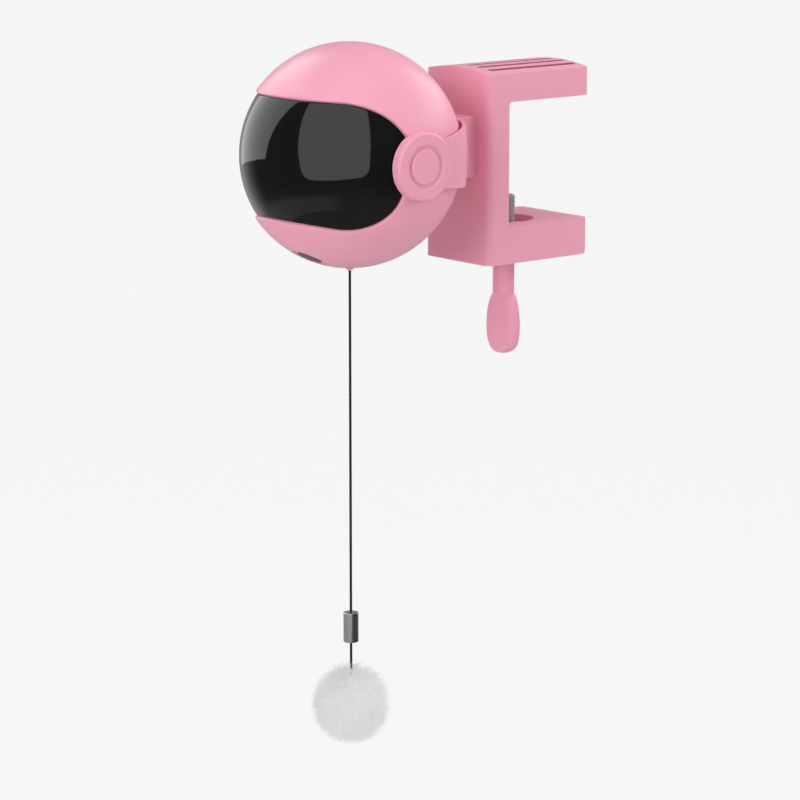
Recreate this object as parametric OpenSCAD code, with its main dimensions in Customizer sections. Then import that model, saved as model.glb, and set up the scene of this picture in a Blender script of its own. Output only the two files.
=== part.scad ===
// Motor-driven cat toy: a helmet-like ball tilts in a yoke on a table clamp
// and lowers or lifts a pom-pom on a string.
// Millimetres, +Z up, the visor looks along -Y. The origin lies on the
// underside of the upper jaw, on the axis of the clamp screw.

/* [Clamp] */
// Width of the clamp
clamp_w = 36; // [32:0.5:44]
// Distance from the front face to the open end of the jaws
clamp_depth = 48.2; // [43:0.1:64]
// Thickness of the upright web
web_t = 9.7; // [8:0.1:11]
// Thickness of the upper jaw at its edges
upper_jaw_t = 10.2; // [8:0.1:14]
// Thickness of the lower jaw
lower_jaw_t = 13.7; // [12:0.1:18]
// Opening between the jaws
jaw_gap = 45.3; // [40:0.1:60]
// Radius of the upright front edges
front_edge_r = 3; // [2:0.5:5]
// Radius of the upright edges at the jaw ends
end_edge_r = 1.2; // [0.5:0.1:3]
// Radius of the inner corners between web and jaws
inner_corner_r = 1.5; // [0.5:0.25:3]
// Chamfer under the open end of the lower jaw
jaw_chamfer = 1.5; // [0.5:0.25:3]
// Rise of the crowned top over its edges
crown_rise = 2; // [1:0.1:2.8]
// Number of grooves along the top
groove_count = 5; // [3:2:5]
// Spacing of the grooves
groove_pitch = 6; // [4:0.5:6.5]
// Width of a groove
groove_w = 1.3; // [0.8:0.1:2]
// Depth of a groove
groove_depth = 0.9; // [0.5:0.1:1.5]
// Distance of the grooves from the front face
groove_front = 4.5; // [4:0.5:10]
// Distance of the grooves from the open end
groove_end = 1.5; // [1.3:0.1:6]
// Distance of the screw axis from the front face
screw_back = 23.2; // [22.2:0.1:27]
// Radius of the recess round the screw
recess_r = 11; // [9:0.5:12]
// Depth of the recess round the screw
recess_depth = 2.5; // [1.5:0.1:3.5]
// Nut size across its flats
nut_flats = 13; // [12:0.5:14]
// Thickness of the nut
nut_t = 6.5; // [5:0.5:7.5]

/* [Clamp screw] */
// Diameter of the screw
screw_d = 8; // [7:0.25:9]
// Height of the tip above the lower jaw
tip_rise = 8.7; // [7:0.1:11]
// Length of the swivelling tip
tip_len = 9.7; // [9:0.1:12]
// Diameter of the spigot that the tip turns on
spigot_d = 4; // [3:0.25:5]
// Length of the spigot
spigot_len = 5; // [4:0.25:6]
// Stem below the lower jaw
stem_len = 14.6; // [14.2:0.1:24]
// Length of the handle
handle_len = 22.4; // [20:0.2:32]
// Width of the handle
handle_w = 13.8; // [12:0.2:18]
// Thickness of the handle
handle_t = 5.4; // [4:0.2:7]

/* [Ball] */
// Outer radius of the ball
head_r = 40; // [39:0.5:46]
// Wall of the shells
shell_wall = 2; // [1.6:0.1:2.3]
// Height of the ball's centre under the upper jaw
head_drop = 16; // [12:0.5:20]
// Depth of the visor below the shells
visor_inset = 1; // [0.6:0.1:1.4]
// Thickness of the visor's flange
visor_flange_t = 1; // [0.8:0.1:1.4]
// Reach of the flange behind the shells
visor_lap = 2; // [1:0.25:2.5]
// Radius of the visor's upper rear corner
brow_r = 22.6; // [21.5:0.1:23.5]
// Distance of that corner's centre ahead of the pivot
brow_fore = 25.1; // [24:0.1:26]
// Distance of that corner's centre below the pivot
brow_drop = 0.1; // [0:0.1:1]
// Rise of the visor's upper edge towards the front, in degrees
brow_angle = 4.5; // [0:0.5:8]
// Radius of the visor's lower rear corner
jaw_r = 15; // [14:0.1:16]
// Distance of that corner's centre ahead of the pivot
jaw_fore = 21.3; // [20.5:0.1:22.5]
// Distance of that corner's centre below the pivot
jaw_drop = 7.6; // [7:0.1:9]
// Rise of the visor's lower edge towards the front, in degrees
chin_angle = 11.4; // [8:0.1:16]
// Radius of the round seat that the shells keep under each ear
seat_r = 10; // [9.5:0.1:11]
// Radius of the pivot pins
pivot_r = 3; // [2.5:0.1:3.4]
// Radius of the pivot bosses in the shells
pivot_boss_r = 6; // [5:0.25:6.5]
// Length of the pivot bosses
pivot_boss_len = 5; // [4:0.5:6]

/* [Yoke] */
// Gap between the ball and the strap
strap_gap = 0.4; // [0.3:0.05:0.8]
// Thickness of the strap
strap_t = 1.3; // [1:0.1:2]
// Half height of the strap beside the ears
strap_half_ear = 8.7; // [7:0.1:10]
// Half height of the strap at the back
strap_half_back = 11.2; // [10:0.1:12]
// Radius of the ear discs
ear_r = 12; // [11.5:0.25:14]
// Height of the ear's face over the ball
ear_rise = 2.4; // [2.3:0.1:4]
// Rounding of the ear's edge
ear_edge_r = 1; // [0.5:0.1:1.5]
// Radius of the ear caps
ear_cap_r = 6.2; // [5.5:0.1:7]
// Thickness of the ear caps
ear_cap_t = 0.8; // [0.7:0.1:1]
// Width of the groove round an ear cap
ear_groove_w = 0.9; // [0.5:0.1:1.4]
// Width and height of the square neck
neck_w = 22; // [20.5:0.5:23]
// Distance from the strap to the clamp
neck_len = 8.1; // [7.6:0.1:15]

/* [Fasteners] */
// Radius of the neck screws
neck_screw_r = 1.5; // [1.25:0.05:1.75]
// Distance between the neck screws
neck_screw_pitch = 12; // [10:0.5:13]
// Depth of the neck screws in the neck
neck_screw_hold = 8; // [6:0.5:9]
// Radius of the small screws in the ball
small_screw_r = 1; // [0.8:0.05:1.2]
// Distance between the two shell screws
shell_screw_pitch = 20; // [16:0.5:24]
// Distance of the shell screws from the rear wall
shell_screw_in = 6; // [5.5:0.25:7]

/* [Battery bay] */
// Angle of the bay below the horizontal, in degrees
bay_angle = 37; // [36:0.5:39]
// Length of a cell
cell_len = 44.5; // [42:0.5:45]
// Diameter of a cell
cell_d = 10.5; // [9.5:0.1:10.6]
// Gap between the ends of the cells and the ball's inner wall
cell_clear = 0.25; // [0.2:0.05:0.5]
// Wall of the tray
tray_wall = 1.2; // [0.8:0.1:1.4]
// Thickness of the contact plates
contact_t = 0.4; // [0.2:0.1:0.6]
// Reach of the door past the bay's opening
door_lap = 1.6; // [1.2:0.1:1.8]
// Corner radius of the bay's opening
door_corner_r = 4; // [2.5:0.5:5]
// Radius of the door's screw tab
door_tab_r = 3.6; // [3.4:0.1:4]

/* [Button] */
// Angle of the button ahead of the bottom, in degrees
button_angle = 27.5; // [25:0.5:30]
// Radius of the dish round the button
dish_r = 6.5; // [6:0.1:7.5]
// Depth of the dish at its middle
dish_depth = 1.1; // [0.9:0.05:1.3]
// Radius of the button
button_r = 4.5; // [3.5:0.1:5]
// Height of the button over the dish
button_rise = 0.6; // [0.3:0.1:0.9]
// Travel of the button
button_travel = 1; // [0.5:0.1:1.2]
// Width of the circuit board
board_w = 22; // [18:0.5:24]
// Length of the circuit board
board_len = 20; // [18:0.5:22]
// Reach of the board behind the button's axis
board_aft = 9; // [8:0.5:10]
// Distance of the board from the ball's centre
board_out = 27; // [26:0.25:28]
// Thickness of the board
board_t = 1.6; // [1:0.2:2]
// Width of the tactile switch
switch_w = 6; // [5:0.5:7]
// Height of the tactile switch
switch_h = 3.5; // [3:0.1:4]

/* [Winch] */
// Gear module
gear_m = 0.5; // [0.45:0.01:0.52]
// Teeth of the spool's gear
spool_teeth = 40; // [36:1:41]
// Teeth of the idler's wheel
wheel_teeth = 36; // [32:1:38]
// Teeth of the pinions
pinion_teeth = 10; // [9:1:11]
// Width of the gears
gear_w = 2.8; // [2:0.1:3.2]
// Radius of the string's winding on the spool
winding_r = 7; // [6.5:0.1:7.4]
// Half width of the spool between its flanges
spool_half = 6; // [5.5:0.25:6.5]
// Radius of the spool's flanges
flange_r = 9; // [8.4:0.1:9.3]
// Thickness of the spool's flanges
flange_t = 1; // [0.8:0.1:1.2]
// Distance of the spool's axis below the pivot
spool_drop = 12; // [11:0.25:13]
// Direction from the spool to the idler, in degrees
idler_angle = 113.6; // [110:0.2:118]
// Direction from the idler to the motor, in degrees
motor_angle = 77.5; // [74:0.5:84]
// Radius of the gear axles
axle_r = 1; // [0.8:0.05:1.2]
// Thickness of the gearbox plates
plate_t = 1.8; // [1.5:0.1:2.2]
// Width of the gearbox plates' legs
arm_w = 6; // [5:0.25:7]
// Length of the motor
motor_len = 24; // [20:0.5:26]
// Width of the motor
motor_w = 12; // [10:0.5:12.5]
// Height of the motor
motor_h = 10; // [8:0.5:10.5]
// Radius of the motor's shaft
shaft_r = 1.2; // [0.9:0.05:1.3]

/* [String and pom-pom] */
// Diameter of the string
string_d = 1; // [0.8:0.05:1.2]
// Loops of string kept on the spool
winding_loops = 3; // [2:1:3]
// Spacing of those loops
winding_pitch = 1.45; // [1.4:0.01:1.5]
// Free string between the eyelet and the clasp
string_len = 126; // [122:1:300]
// Reach of the eyelet below the ball
eyelet_reach = 1; // [0.6:0.1:1.6]
// Outer radius of the eyelet
eyelet_r = 1.7; // [1.5:0.1:2.4]
// Diameter of the clasp
clasp_d = 5.5; // [4:0.1:7]
// Length of the clasp
clasp_len = 11; // [8:0.5:15]
// String between the clasp and the pom-pom
tail_len = 9.5; // [6:0.5:14]
// Diameter of the pom-pom
pom_d = 28.6; // [24:0.2:40]

/* [Hidden] */
$fn = 96;
// Fits and clearances
running_fit = 0.06;
close_fit = 0.02;
part_gap = 0.2;
body_gap = 0.3;
cut_past = 1;

// Clamp
clamp_front = -screw_back;
clamp_end = clamp_front + clamp_depth;
web_inner = clamp_front + web_t;
lower_top = -jaw_gap;
clamp_bottom = lower_top - lower_jaw_t;
clamp_top = upper_jaw_t + crown_rise;
crown_facets = 360;
crown_r = (clamp_w * clamp_w / 4 + crown_rise * crown_rise) / (2 * crown_rise);
screw_r = screw_d / 2;
nut_top = lower_top - recess_depth;
tip_top = lower_top + tip_rise;
tip_bottom = tip_top - tip_len;
tip_chamfer = 0.6;
stem_bottom = clamp_bottom - stem_len;
handle_bottom = stem_bottom - handle_len;
handle_r = handle_w / 2;
belly_share = 0.48;
end_power = 2.6;
shoulder_power = 0.8;
handle_belly = handle_len * belly_share;
flat_share = 0.8;
handle_steps = 24;
handle_spread = 1.6;
handle_run_r = 8;

// Ball
strap_in_r = head_r + strap_gap;
strap_out_r = strap_in_r + strap_t;
head_y = clamp_front - neck_len - strap_out_r;
head_z = -head_drop;
shell_in_r = head_r - shell_wall;
visor_out_r = head_r - visor_inset;
visor_flange_r = shell_in_r - part_gap;
visor_in_r = visor_flange_r - visor_flange_t;
visor_gap = 0.15;
beyond = 2 * head_r;
corner_steps = 20;
inner_r = shell_in_r - part_gap;
boss_in_x = shell_in_r - pivot_boss_len;
boss_root_r = head_r - shell_wall / 2;
lip_h = 1.6;
lip_t = 0.8;
lip_past_boss = 1.5;
lip_fore = pivot_boss_r + lip_past_boss;

// Yoke
ear_face = head_r + ear_rise;
pin_head_t = 0.6;
pin_head_lap = 1.8;
pin_head_r = pivot_r + pin_head_lap;
cap_floor = ear_face - ear_cap_t;
pin_seat = cap_floor - pin_head_t;
strap_bend_fore = 12;
strap_bend_aft = 33;

// Screws
head_ratio = 1.9;
neck_head_t = 2.4;
neck_head_sink = 3;
small_head_t = 1.2;
small_boss_r = 3.2;
shell_screw_seat = 8;
shell_boss_foot = 5.5;
screw_cover = 1;
shell_screw_tip = shell_boss_foot - screw_cover;
shell_screw_aft = shell_in_r - shell_screw_in;

// Battery bay, in a frame whose z axis points out through the door
cell_pitch = cell_d + body_gap;
bay_half_x = cell_len / 2 + contact_t + part_gap;
bay_half_y = cell_pitch / 2 + cell_d / 2 + part_gap;
cell_reach = sqrt(pow(inner_r, 2) - pow(bay_half_x, 2)) - cell_d / 2 - cell_clear;
cell_out = sqrt(pow(cell_reach, 2) - pow(cell_pitch / 2, 2));
bay_floor = cell_out - cell_d / 2 - part_gap;
tray_low = [cos(bay_angle), -sin(bay_angle)] * (bay_floor - tray_wall)
    - [sin(bay_angle), cos(bay_angle)] * (bay_half_y + tray_wall);
contact_edge = 0.6;
door_step_r = head_r - shell_wall / 2;
door_screw_len = 4.5;
door_boss_wall = 1.6;
door_boss_r = small_screw_r + door_boss_wall;
boss_floor = 0.8;
door_boss_in = door_step_r - door_screw_len - boss_floor;
door_tab_y = (bay_half_y + tray_wall + part_gap + door_boss_r) * door_step_r / door_boss_in;
door_tab_turn = asin(door_tab_y / door_step_r);

// Button, in a frame whose z axis points out through the button
dish_floor = head_r - dish_depth;
button_lap = 1;
button_flange_r = button_r + button_lap;
button_flange_t = 0.9;
button_edge = 0.5;
button_flange_top = sqrt(pow(shell_in_r, 2) - pow(button_flange_r, 2)) - body_gap;
board_outer = board_out + board_t / 2;
switch_top = board_outer + switch_h;
stem_r = 1.5;
stem_tip_depth = 0.2;
well_spare = 1;
switch_well = stem_tip_depth + button_travel + well_spare;
button_gap = 0.1;
post_r = 1.6;
post_edge = 2.5;
post_x = board_w / 2 - post_edge;

// Winch, with places as [Y, Z] from the pivot
spool_at = [-winding_r, -spool_drop];
gear_reach = gear_m * (spool_teeth + pinion_teeth) / 2;
wheel_reach = gear_m * (wheel_teeth + pinion_teeth) / 2;
idler_at = spool_at + gear_reach * [cos(idler_angle), sin(idler_angle)];
motor_at = idler_at + wheel_reach * [cos(motor_angle), sin(motor_angle)];
first_mesh_x = spool_half + flange_t + part_gap;
mesh_gap = 0.6;
second_mesh_x = first_mesh_x + gear_w + mesh_gap;
second_mesh_end = second_mesh_x + gear_w;
left_room = 1.2;
left_plate_x = -(spool_half + flange_t + left_room + plate_t);
left_plate_in = left_plate_x + plate_t;
right_room = 1.8;
right_plate_x = second_mesh_end + right_room;
pressure_angle = 20;
wheel_tip = 0.6;
pinion_tip = 1;
tooth_root = 1.25;
root_ease = 0.1;
backlash = 0.06;
hub_r = 2.6;
idler_hub_r = 1.6;
fore_tie = [-20, -14];
aft_tie = [3.5, 1.5];
tie_r = 2.2;
foot_gap = 0.5;
foot_y = tray_low[0] - foot_gap - arm_w / 2;
leg_fore = foot_y - arm_w / 2 - part_gap;
board_in = board_out - board_t / 2;
board_tail = -min(board_aft, (leg_fore + board_in * sin(button_angle)) / cos(button_angle));
rib_t = 1.2;
rib_h = 6;
shaft_len = 4.4;
motor_front = second_mesh_x - shaft_len;
motor_back = motor_front - motor_len;
motor_frame_w = 2;
boss_ring_r = 2.4;
boss_ring_h = 1;

// String
string_r = string_d / 2;
core_gap = 0.1;
core_r = winding_r - string_r - core_gap;
run_clear = winding_r + string_r + body_gap + string_r;
run_top = -spool_drop - sqrt(pow(run_clear, 2) - pow(winding_r - string_r, 2));
eyelet_mouth = -(head_r + eyelet_reach);
eyelet_bore = string_r + body_gap;
eyelet_lap = 1.4;
eyelet_flange_r = eyelet_r + eyelet_lap;
eyelet_flange_t = 0.8;
run_inset = 0.5;
run_bottom = eyelet_mouth + run_inset;
string_top = eyelet_mouth - body_gap;
string_bottom = string_top - string_len;
clasp_top = string_bottom - part_gap;
clasp_bottom = clasp_top - clasp_len;
clasp_edge = 0.5;
tail_top = clasp_bottom - body_gap - string_r / 2;
tail_sink = 3;
pom_r = pom_d / 2;
pom_z = tail_top - tail_len - pom_r;
loop_rings = 24;
tube_sides = 6;

// Frames and small shapes

module at_head() {
    translate([0, head_y, head_z]) children();
}

// Extrudes a [Y, Z] outline along X from x0 to x1
module across(x0, x1) {
    translate([x0, 0, 0]) rotate([90, 0, 90]) linear_extrude(x1 - x0) children();
}

module at_bay() {
    rotate([-(90 + bay_angle), 0, 0]) children();
}

// Along the ball's radius through the middle of the door's screw tab
module at_tab() {
    rotate([-door_tab_turn, 0, 0]) children();
}

module at_button() {
    rotate([180 - button_angle, 0, 0]) children();
}

// A cylinder along X at a [Y, Z] place
module rod(at, r, x0, x1) {
    translate([x0, at[0], at[1]]) rotate([0, 90, 0]) cylinder(r = r, h = x1 - x0);
}

// A flat bar with round ends between two points
module bar(from, to, w) {
    run = to - from;
    translate(from) circle(w / 2);
    translate(to) circle(w / 2);
    translate(from) rotate(atan2(run[1], run[0])) translate([0, -w / 2]) square([norm(run), w]);
}

module rounded_rect(half_x, half_y, r) {
    square([2 * half_x, 2 * (half_y - r)], center = true);
    square([2 * (half_x - r), 2 * half_y], center = true);
    for (sx = [-1, 1], sy = [-1, 1])
        translate([sx * (half_x - r), sy * (half_y - r)]) circle(r);
}

module hollow_ball(out_r, in_r) {
    difference() {
        sphere(out_r);
        sphere(in_r);
    }
}

// Clamp

module clamp_plan() {
    middle = (clamp_front + clamp_end) / 2;
    translate([-clamp_w / 2, clamp_front + front_edge_r])
        square([clamp_w, clamp_depth - front_edge_r - end_edge_r]);
    translate([-clamp_w / 2 + front_edge_r, clamp_front])
        square([clamp_w - 2 * front_edge_r, middle - clamp_front]);
    translate([-clamp_w / 2 + end_edge_r, middle])
        square([clamp_w - 2 * end_edge_r, clamp_end - middle]);
    for (side = [-1, 1]) {
        translate([side * (clamp_w / 2 - front_edge_r), clamp_front + front_edge_r]) circle(front_edge_r);
        translate([side * (clamp_w / 2 - end_edge_r), clamp_end - end_edge_r]) circle(end_edge_r);
    }
}

module jaw_opening() {
    translate([web_inner + inner_corner_r, lower_top]) square([clamp_depth, jaw_gap]);
    translate([web_inner, lower_top + inner_corner_r]) square([clamp_depth, jaw_gap - 2 * inner_corner_r]);
    for (z = [lower_top + inner_corner_r, -inner_corner_r])
        translate([web_inner + inner_corner_r, z]) circle(inner_corner_r);
}

module clamp_side() {
    difference() {
        polygon([
            [clamp_front, clamp_bottom], [clamp_end - jaw_chamfer, clamp_bottom],
            [clamp_end, clamp_bottom + jaw_chamfer], [clamp_end, clamp_top], [clamp_front, clamp_top]
        ]);
        jaw_opening();
    }
}

function crown_z(x) = clamp_top - crown_r + sqrt(crown_r * crown_r - x * x);

module top_grooves() {
    for (i = [-(groove_count - 1) / 2 : (groove_count - 1) / 2]) {
        x = i * groove_pitch;
        translate([x - groove_w / 2, clamp_front + groove_front, crown_z(x) - groove_depth])
            cube([groove_w, clamp_depth - groove_front - groove_end, groove_depth + cut_past]);
    }
}

module neck_screw_places() {
    for (side = [-1, 1])
        translate([0, clamp_front, head_z + side * neck_screw_pitch / 2]) rotate([-90, 0, 0]) children();
}

module clamp_frame() {
    color("pink") difference() {
        intersection() {
            across(-clamp_w / 2, clamp_w / 2) clamp_side();
            translate([0, 0, clamp_bottom]) linear_extrude(clamp_top - clamp_bottom) clamp_plan();
            translate([0, clamp_front - cut_past, clamp_top - crown_r]) rotate([-90, 0, 0])
                cylinder(r = crown_r, h = clamp_depth + 2 * cut_past, $fn = crown_facets);
        }
        top_grooves();
        translate([0, 0, clamp_bottom - cut_past])
            cylinder(r = screw_r + running_fit, h = lower_jaw_t + 2 * cut_past);
        translate([0, 0, nut_top]) cylinder(r = recess_r, h = recess_depth + cut_past);
        translate([0, 0, nut_top - nut_t]) hexagon(nut_flats + 2 * close_fit, nut_t + cut_past);
        neck_screw_places() {
            translate([0, 0, -cut_past]) cylinder(r = neck_screw_r + part_gap, h = web_t + 2 * cut_past);
            translate([0, 0, web_t - neck_head_sink])
                cylinder(r = head_ratio * neck_screw_r + part_gap, h = neck_head_sink + cut_past);
        }
    }
}

module hexagon(flats, h) {
    cylinder(d = flats / cos(30), h = h, $fn = 6);
}

module clamp_nut() {
    color("silver") translate([0, 0, nut_top - nut_t]) difference() {
        hexagon(nut_flats, nut_t);
        translate([0, 0, -cut_past]) cylinder(r = screw_r + running_fit, h = nut_t + 2 * cut_past);
    }
}

module neck_screws() {
    color("silver") neck_screw_places() {
        translate([0, 0, -neck_screw_hold])
            cylinder(r = neck_screw_r, h = neck_screw_hold + web_t - neck_head_sink);
        translate([0, 0, web_t - neck_head_sink]) cylinder(r = head_ratio * neck_screw_r, h = neck_head_t);
    }
}

module screw_tip() {
    color("gray") translate([0, 0, tip_bottom]) difference() {
        union() {
            cylinder(r = screw_r, h = tip_len - tip_chamfer);
            translate([0, 0, tip_len - tip_chamfer])
                cylinder(r1 = screw_r, r2 = screw_r - tip_chamfer, h = tip_chamfer);
        }
        translate([0, 0, -cut_past])
            cylinder(d = spigot_d + 2 * running_fit, h = spigot_len + body_gap + cut_past);
    }
}

// Radius of the handle at a height over its lower end: a full end, then round shoulders at the stem
function handle_radius(z) =
    z < handle_belly
        ? handle_r * pow(1 - pow(1 - z / handle_belly, end_power), 1 / end_power)
        : let (below = (handle_len - z) / (handle_len - handle_belly))
          screw_r + (handle_r - screw_r) * sin(90 * pow(below, shoulder_power));

// Half outline of the handle, the stem and the spigot that the tip turns on
module screw_half() {
    rod_top = tip_bottom - part_gap - handle_bottom;
    curve = [for (i = [1 : handle_steps]) handle_len * pow(i / handle_steps, handle_spread)];
    polygon(concat(
        [[0, 0]], [for (z = curve) [handle_radius(z), z]],
        [[screw_r, rod_top], [spigot_d / 2, rod_top]],
        [[spigot_d / 2, rod_top + spigot_len], [0, rod_top + spigot_len]]
    ));
}

// What is taken off one face of the handle, running out in an arc at the stem
module handle_flat() {
    run_out = handle_len * flat_share;
    translate([handle_t / 2, -cut_past]) square([handle_w, run_out + cut_past]);
    translate([handle_t / 2 + handle_run_r, run_out]) circle(handle_run_r);
}

module clamp_screw() {
    color("pink") translate([0, 0, handle_bottom]) difference() {
        rotate_extrude() screw_half();
        for (face = [0, 1]) mirror([0, face, 0]) across(-handle_w, handle_w) handle_flat();
    }
}

// Yoke

module ear_disc() {
    depth = ear_face - sqrt(pow(strap_in_r, 2) - pow(ear_r, 2)) + cut_past;
    translate([ear_face - depth, 0, 0]) rotate([0, 90, 0]) rotate_extrude() {
        square([ear_r, depth - ear_edge_r]);
        square([ear_r - ear_edge_r, depth]);
        translate([ear_r - ear_edge_r, depth - ear_edge_r]) circle(ear_edge_r);
    }
}

module strap_side() {
    polygon([
        [0, -strap_half_ear], [strap_bend_fore, -strap_half_ear],
        [strap_bend_aft, -strap_half_back], [beyond, -strap_half_back],
        [beyond, strap_half_back], [strap_bend_aft, strap_half_back],
        [strap_bend_fore, strap_half_ear], [0, strap_half_ear]
    ]);
}

module yoke() {
    color("pink") at_head() difference() {
        union() {
            intersection() {
                sphere(strap_out_r);
                across(-beyond, beyond) strap_side();
            }
            for (side = [0, 1]) mirror([side, 0, 0]) ear_disc();
            translate([-neck_w / 2, 0, -neck_w / 2]) cube([neck_w, strap_out_r + neck_len, neck_w]);
        }
        sphere(strap_in_r);
        for (side = [0, 1]) mirror([side, 0, 0]) {
            rod([0, 0], pivot_r + close_fit, head_r - cut_past, ear_face);
            rod([0, 0], pin_head_r + part_gap, pin_seat, ear_face + cut_past);
            rod([0, 0], ear_cap_r + ear_groove_w, cap_floor, ear_face + cut_past);
        }
        translate([0, -head_y, -head_z]) neck_screw_places()
            translate([0, 0, -neck_screw_hold - part_gap])
                cylinder(r = neck_screw_r + close_fit, h = neck_screw_hold + part_gap + cut_past);
    }
}

module pivot_pins() {
    color("silver") at_head() for (side = [0, 1]) mirror([side, 0, 0]) {
        rod([0, 0], pivot_r, boss_in_x - part_gap, pin_seat + pin_head_t);
        rod([0, 0], pin_head_r, pin_seat, pin_seat + pin_head_t);
    }
}

module ear_caps() {
    cap_edge = 0.4;
    color("pink") at_head() for (side = [0, 1]) mirror([side, 0, 0])
        translate([cap_floor, 0, 0]) rotate([0, 90, 0]) {
            cylinder(r = ear_cap_r, h = ear_cap_t - cap_edge);
            translate([0, 0, ear_cap_t - cap_edge])
                cylinder(r1 = ear_cap_r, r2 = ear_cap_r - cap_edge, h = cap_edge);
        }
}

// Ball

// Side view of the visor: two round rear corners, upper and lower edges that rise towards the front,
// and room for the seat under the ear
module visor_side(grow) {
    sweep = 90 + chin_angle;
    lower = [
        for (i = [0 : corner_steps])
            let (a = sweep * (i / corner_steps - 1))
            [-jaw_fore, -jaw_drop] + (jaw_r + grow) * [cos(a), sin(a)]
    ];
    upper = [
        for (i = [0 : corner_steps])
            let (a = (90 - brow_angle) * i / corner_steps)
            [-brow_fore, -brow_drop] + (brow_r + grow) * [cos(a), sin(a)]
    ];
    difference() {
        polygon(concat(lower, upper, [
            upper[corner_steps] + beyond * [-cos(brow_angle), sin(brow_angle)],
            lower[0] + beyond * [-cos(chin_angle), sin(chin_angle)]
        ]));
        circle(seat_r - grow);
    }
}

module visor() {
    color("black") at_head() difference() {
        union() {
            intersection() {
                hollow_ball(visor_out_r, visor_in_r);
                across(-beyond, beyond) visor_side(-visor_gap);
            }
            intersection() {
                hollow_ball(visor_flange_r, visor_in_r);
                across(-beyond, beyond) visor_side(visor_lap);
            }
        }
        rod([0, 0], pivot_boss_r + part_gap, -head_r, head_r);
    }
}

module shell_screw_places() {
    for (side = [-1, 1])
        translate([side * shell_screw_pitch / 2, shell_screw_aft, 0]) children();
}

// Half of all space above (1) or below (-1) the split between the shells
module half_space(side) {
    translate([-beyond, -beyond, side > 0 ? 0 : -beyond]) cube([2 * beyond, 2 * beyond, beyond]);
}

// Half of the ball's wall with its pivot and screw bosses, before anything is cut from it
module shell_half(side) {
    intersection() {
        hollow_ball(head_r, shell_in_r);
        half_space(side);
    }
    intersection() {
        sphere(boss_root_r);
        half_space(side);
        for (end = [0, 1]) mirror([end, 0, 0]) rod([0, 0], pivot_boss_r, boss_in_x, head_r);
    }
    intersection() {
        sphere(boss_root_r);
        half_space(side);
        shell_screw_places() {
            translate([0, 0, -shell_boss_foot]) cylinder(r = small_boss_r, h = head_r);
            translate([-small_boss_r, 0, -shell_boss_foot])
                cube([2 * small_boss_r, head_r, 2 * shell_boss_foot]);
        }
    }
}

module shell_cuts() {
    across(-beyond, beyond) visor_side(0);
    for (side = [0, 1]) mirror([side, 0, 0])
        rod([0, 0], pivot_r + running_fit, boss_in_x - cut_past, head_r + cut_past);
    shell_screw_places() {
        translate([0, 0, -shell_screw_tip - part_gap])
            cylinder(r = small_screw_r + close_fit, h = head_r);
        translate([0, 0, shell_screw_seat]) cylinder(r = head_ratio * small_screw_r + part_gap, h = head_r);
    }
}

module upper_shell() {
    color("pink") at_head() {
        difference() {
            shell_half(1);
            shell_cuts();
        }
        // Locating lip inside the lower shell, behind the pivots and clear of the screw bosses
        intersection() {
            hollow_ball(shell_in_r - part_gap, shell_in_r - part_gap - lip_t);
            for (side = [0, 1]) mirror([side, 0, 0])
                translate([shell_screw_pitch / 2 + small_boss_r + part_gap, lip_fore, -lip_h])
                    cube([head_r, head_r, lip_h]);
        }
        intersection() {
            hollow_ball(shell_in_r + shell_wall / 2, shell_in_r - part_gap - lip_t);
            for (side = [0, 1]) mirror([side, 0, 0])
                translate([shell_screw_pitch / 2 + small_boss_r + part_gap, lip_fore, 0])
                    cube([head_r, head_r, lip_h]);
        }
    }
}

module shell_screws() {
    color("silver") at_head() shell_screw_places() {
        translate([0, 0, -shell_screw_tip])
            cylinder(r = small_screw_r, h = shell_screw_tip + shell_screw_seat + small_head_t);
        translate([0, 0, shell_screw_seat]) cylinder(r = head_ratio * small_screw_r, h = small_head_t);
    }
}

// Bay's outline with its screw tab, grown by the given reach
module door_outline(grow, tab) {
    rounded_rect(bay_half_x + grow, bay_half_y + grow, door_corner_r);
    bar([0, 0], [0, door_tab_y], 2 * (door_tab_r + tab));
}

module bay_cut() {
    at_bay() {
        linear_extrude(beyond) rounded_rect(bay_half_x, bay_half_y, door_corner_r);
        difference() {
            linear_extrude(beyond) door_outline(door_lap, 0);
            sphere(door_step_r);
        }
        at_tab() translate([0, 0, door_step_r - door_screw_len - part_gap])
            cylinder(r = small_screw_r + close_fit, h = door_screw_len + part_gap + cut_past);
    }
}

module leg_socket(x0) {
    intersection() {
        sphere(boss_root_r);
        translate([x0 - part_gap - rib_t, foot_y - arm_w / 2, -head_r])
            cube([plate_t + 2 * (part_gap + rib_t), arm_w, head_r - shell_in_r + rib_h + leg_rise(x0)]);
    }
}

// Height of the ball's inner wall over its bottom, at a plate's place
function leg_rise(x0) = shell_in_r - sqrt(pow(shell_in_r, 2) - pow(max(abs(x0), abs(x0 + plate_t)), 2));

module lower_shell() {
    color("pink") at_head() difference() {
        union() {
            shell_half(-1);
            for (x0 = [left_plate_x, right_plate_x]) leg_socket(x0);
            intersection() {
                sphere(boss_root_r);
                union() {
                    at_bay() at_tab() translate([0, 0, door_boss_in]) cylinder(r = door_boss_r, h = head_r);
                    at_button() for (side = [-1, 1])
                        translate([side * post_x, 0, board_outer]) cylinder(r = post_r, h = head_r);
                }
            }
        }
        shell_cuts();
        bay_cut();
        for (x0 = [left_plate_x, right_plate_x])
            intersection() {
                across(x0 - part_gap, x0 + plate_t + part_gap)
                    translate([foot_y - arm_w, -head_r]) square([2 * arm_w, head_r]);
                sphere(shell_in_r);
            }
        at_button() {
            translate([0, 0, dish_floor]) cylinder(r = dish_r, h = head_r);
            cylinder(r = button_r + button_gap, h = beyond);
        }
        translate([0, 0, -beyond]) cylinder(r = eyelet_r + close_fit, h = beyond);
    }
}

// Power

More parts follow.
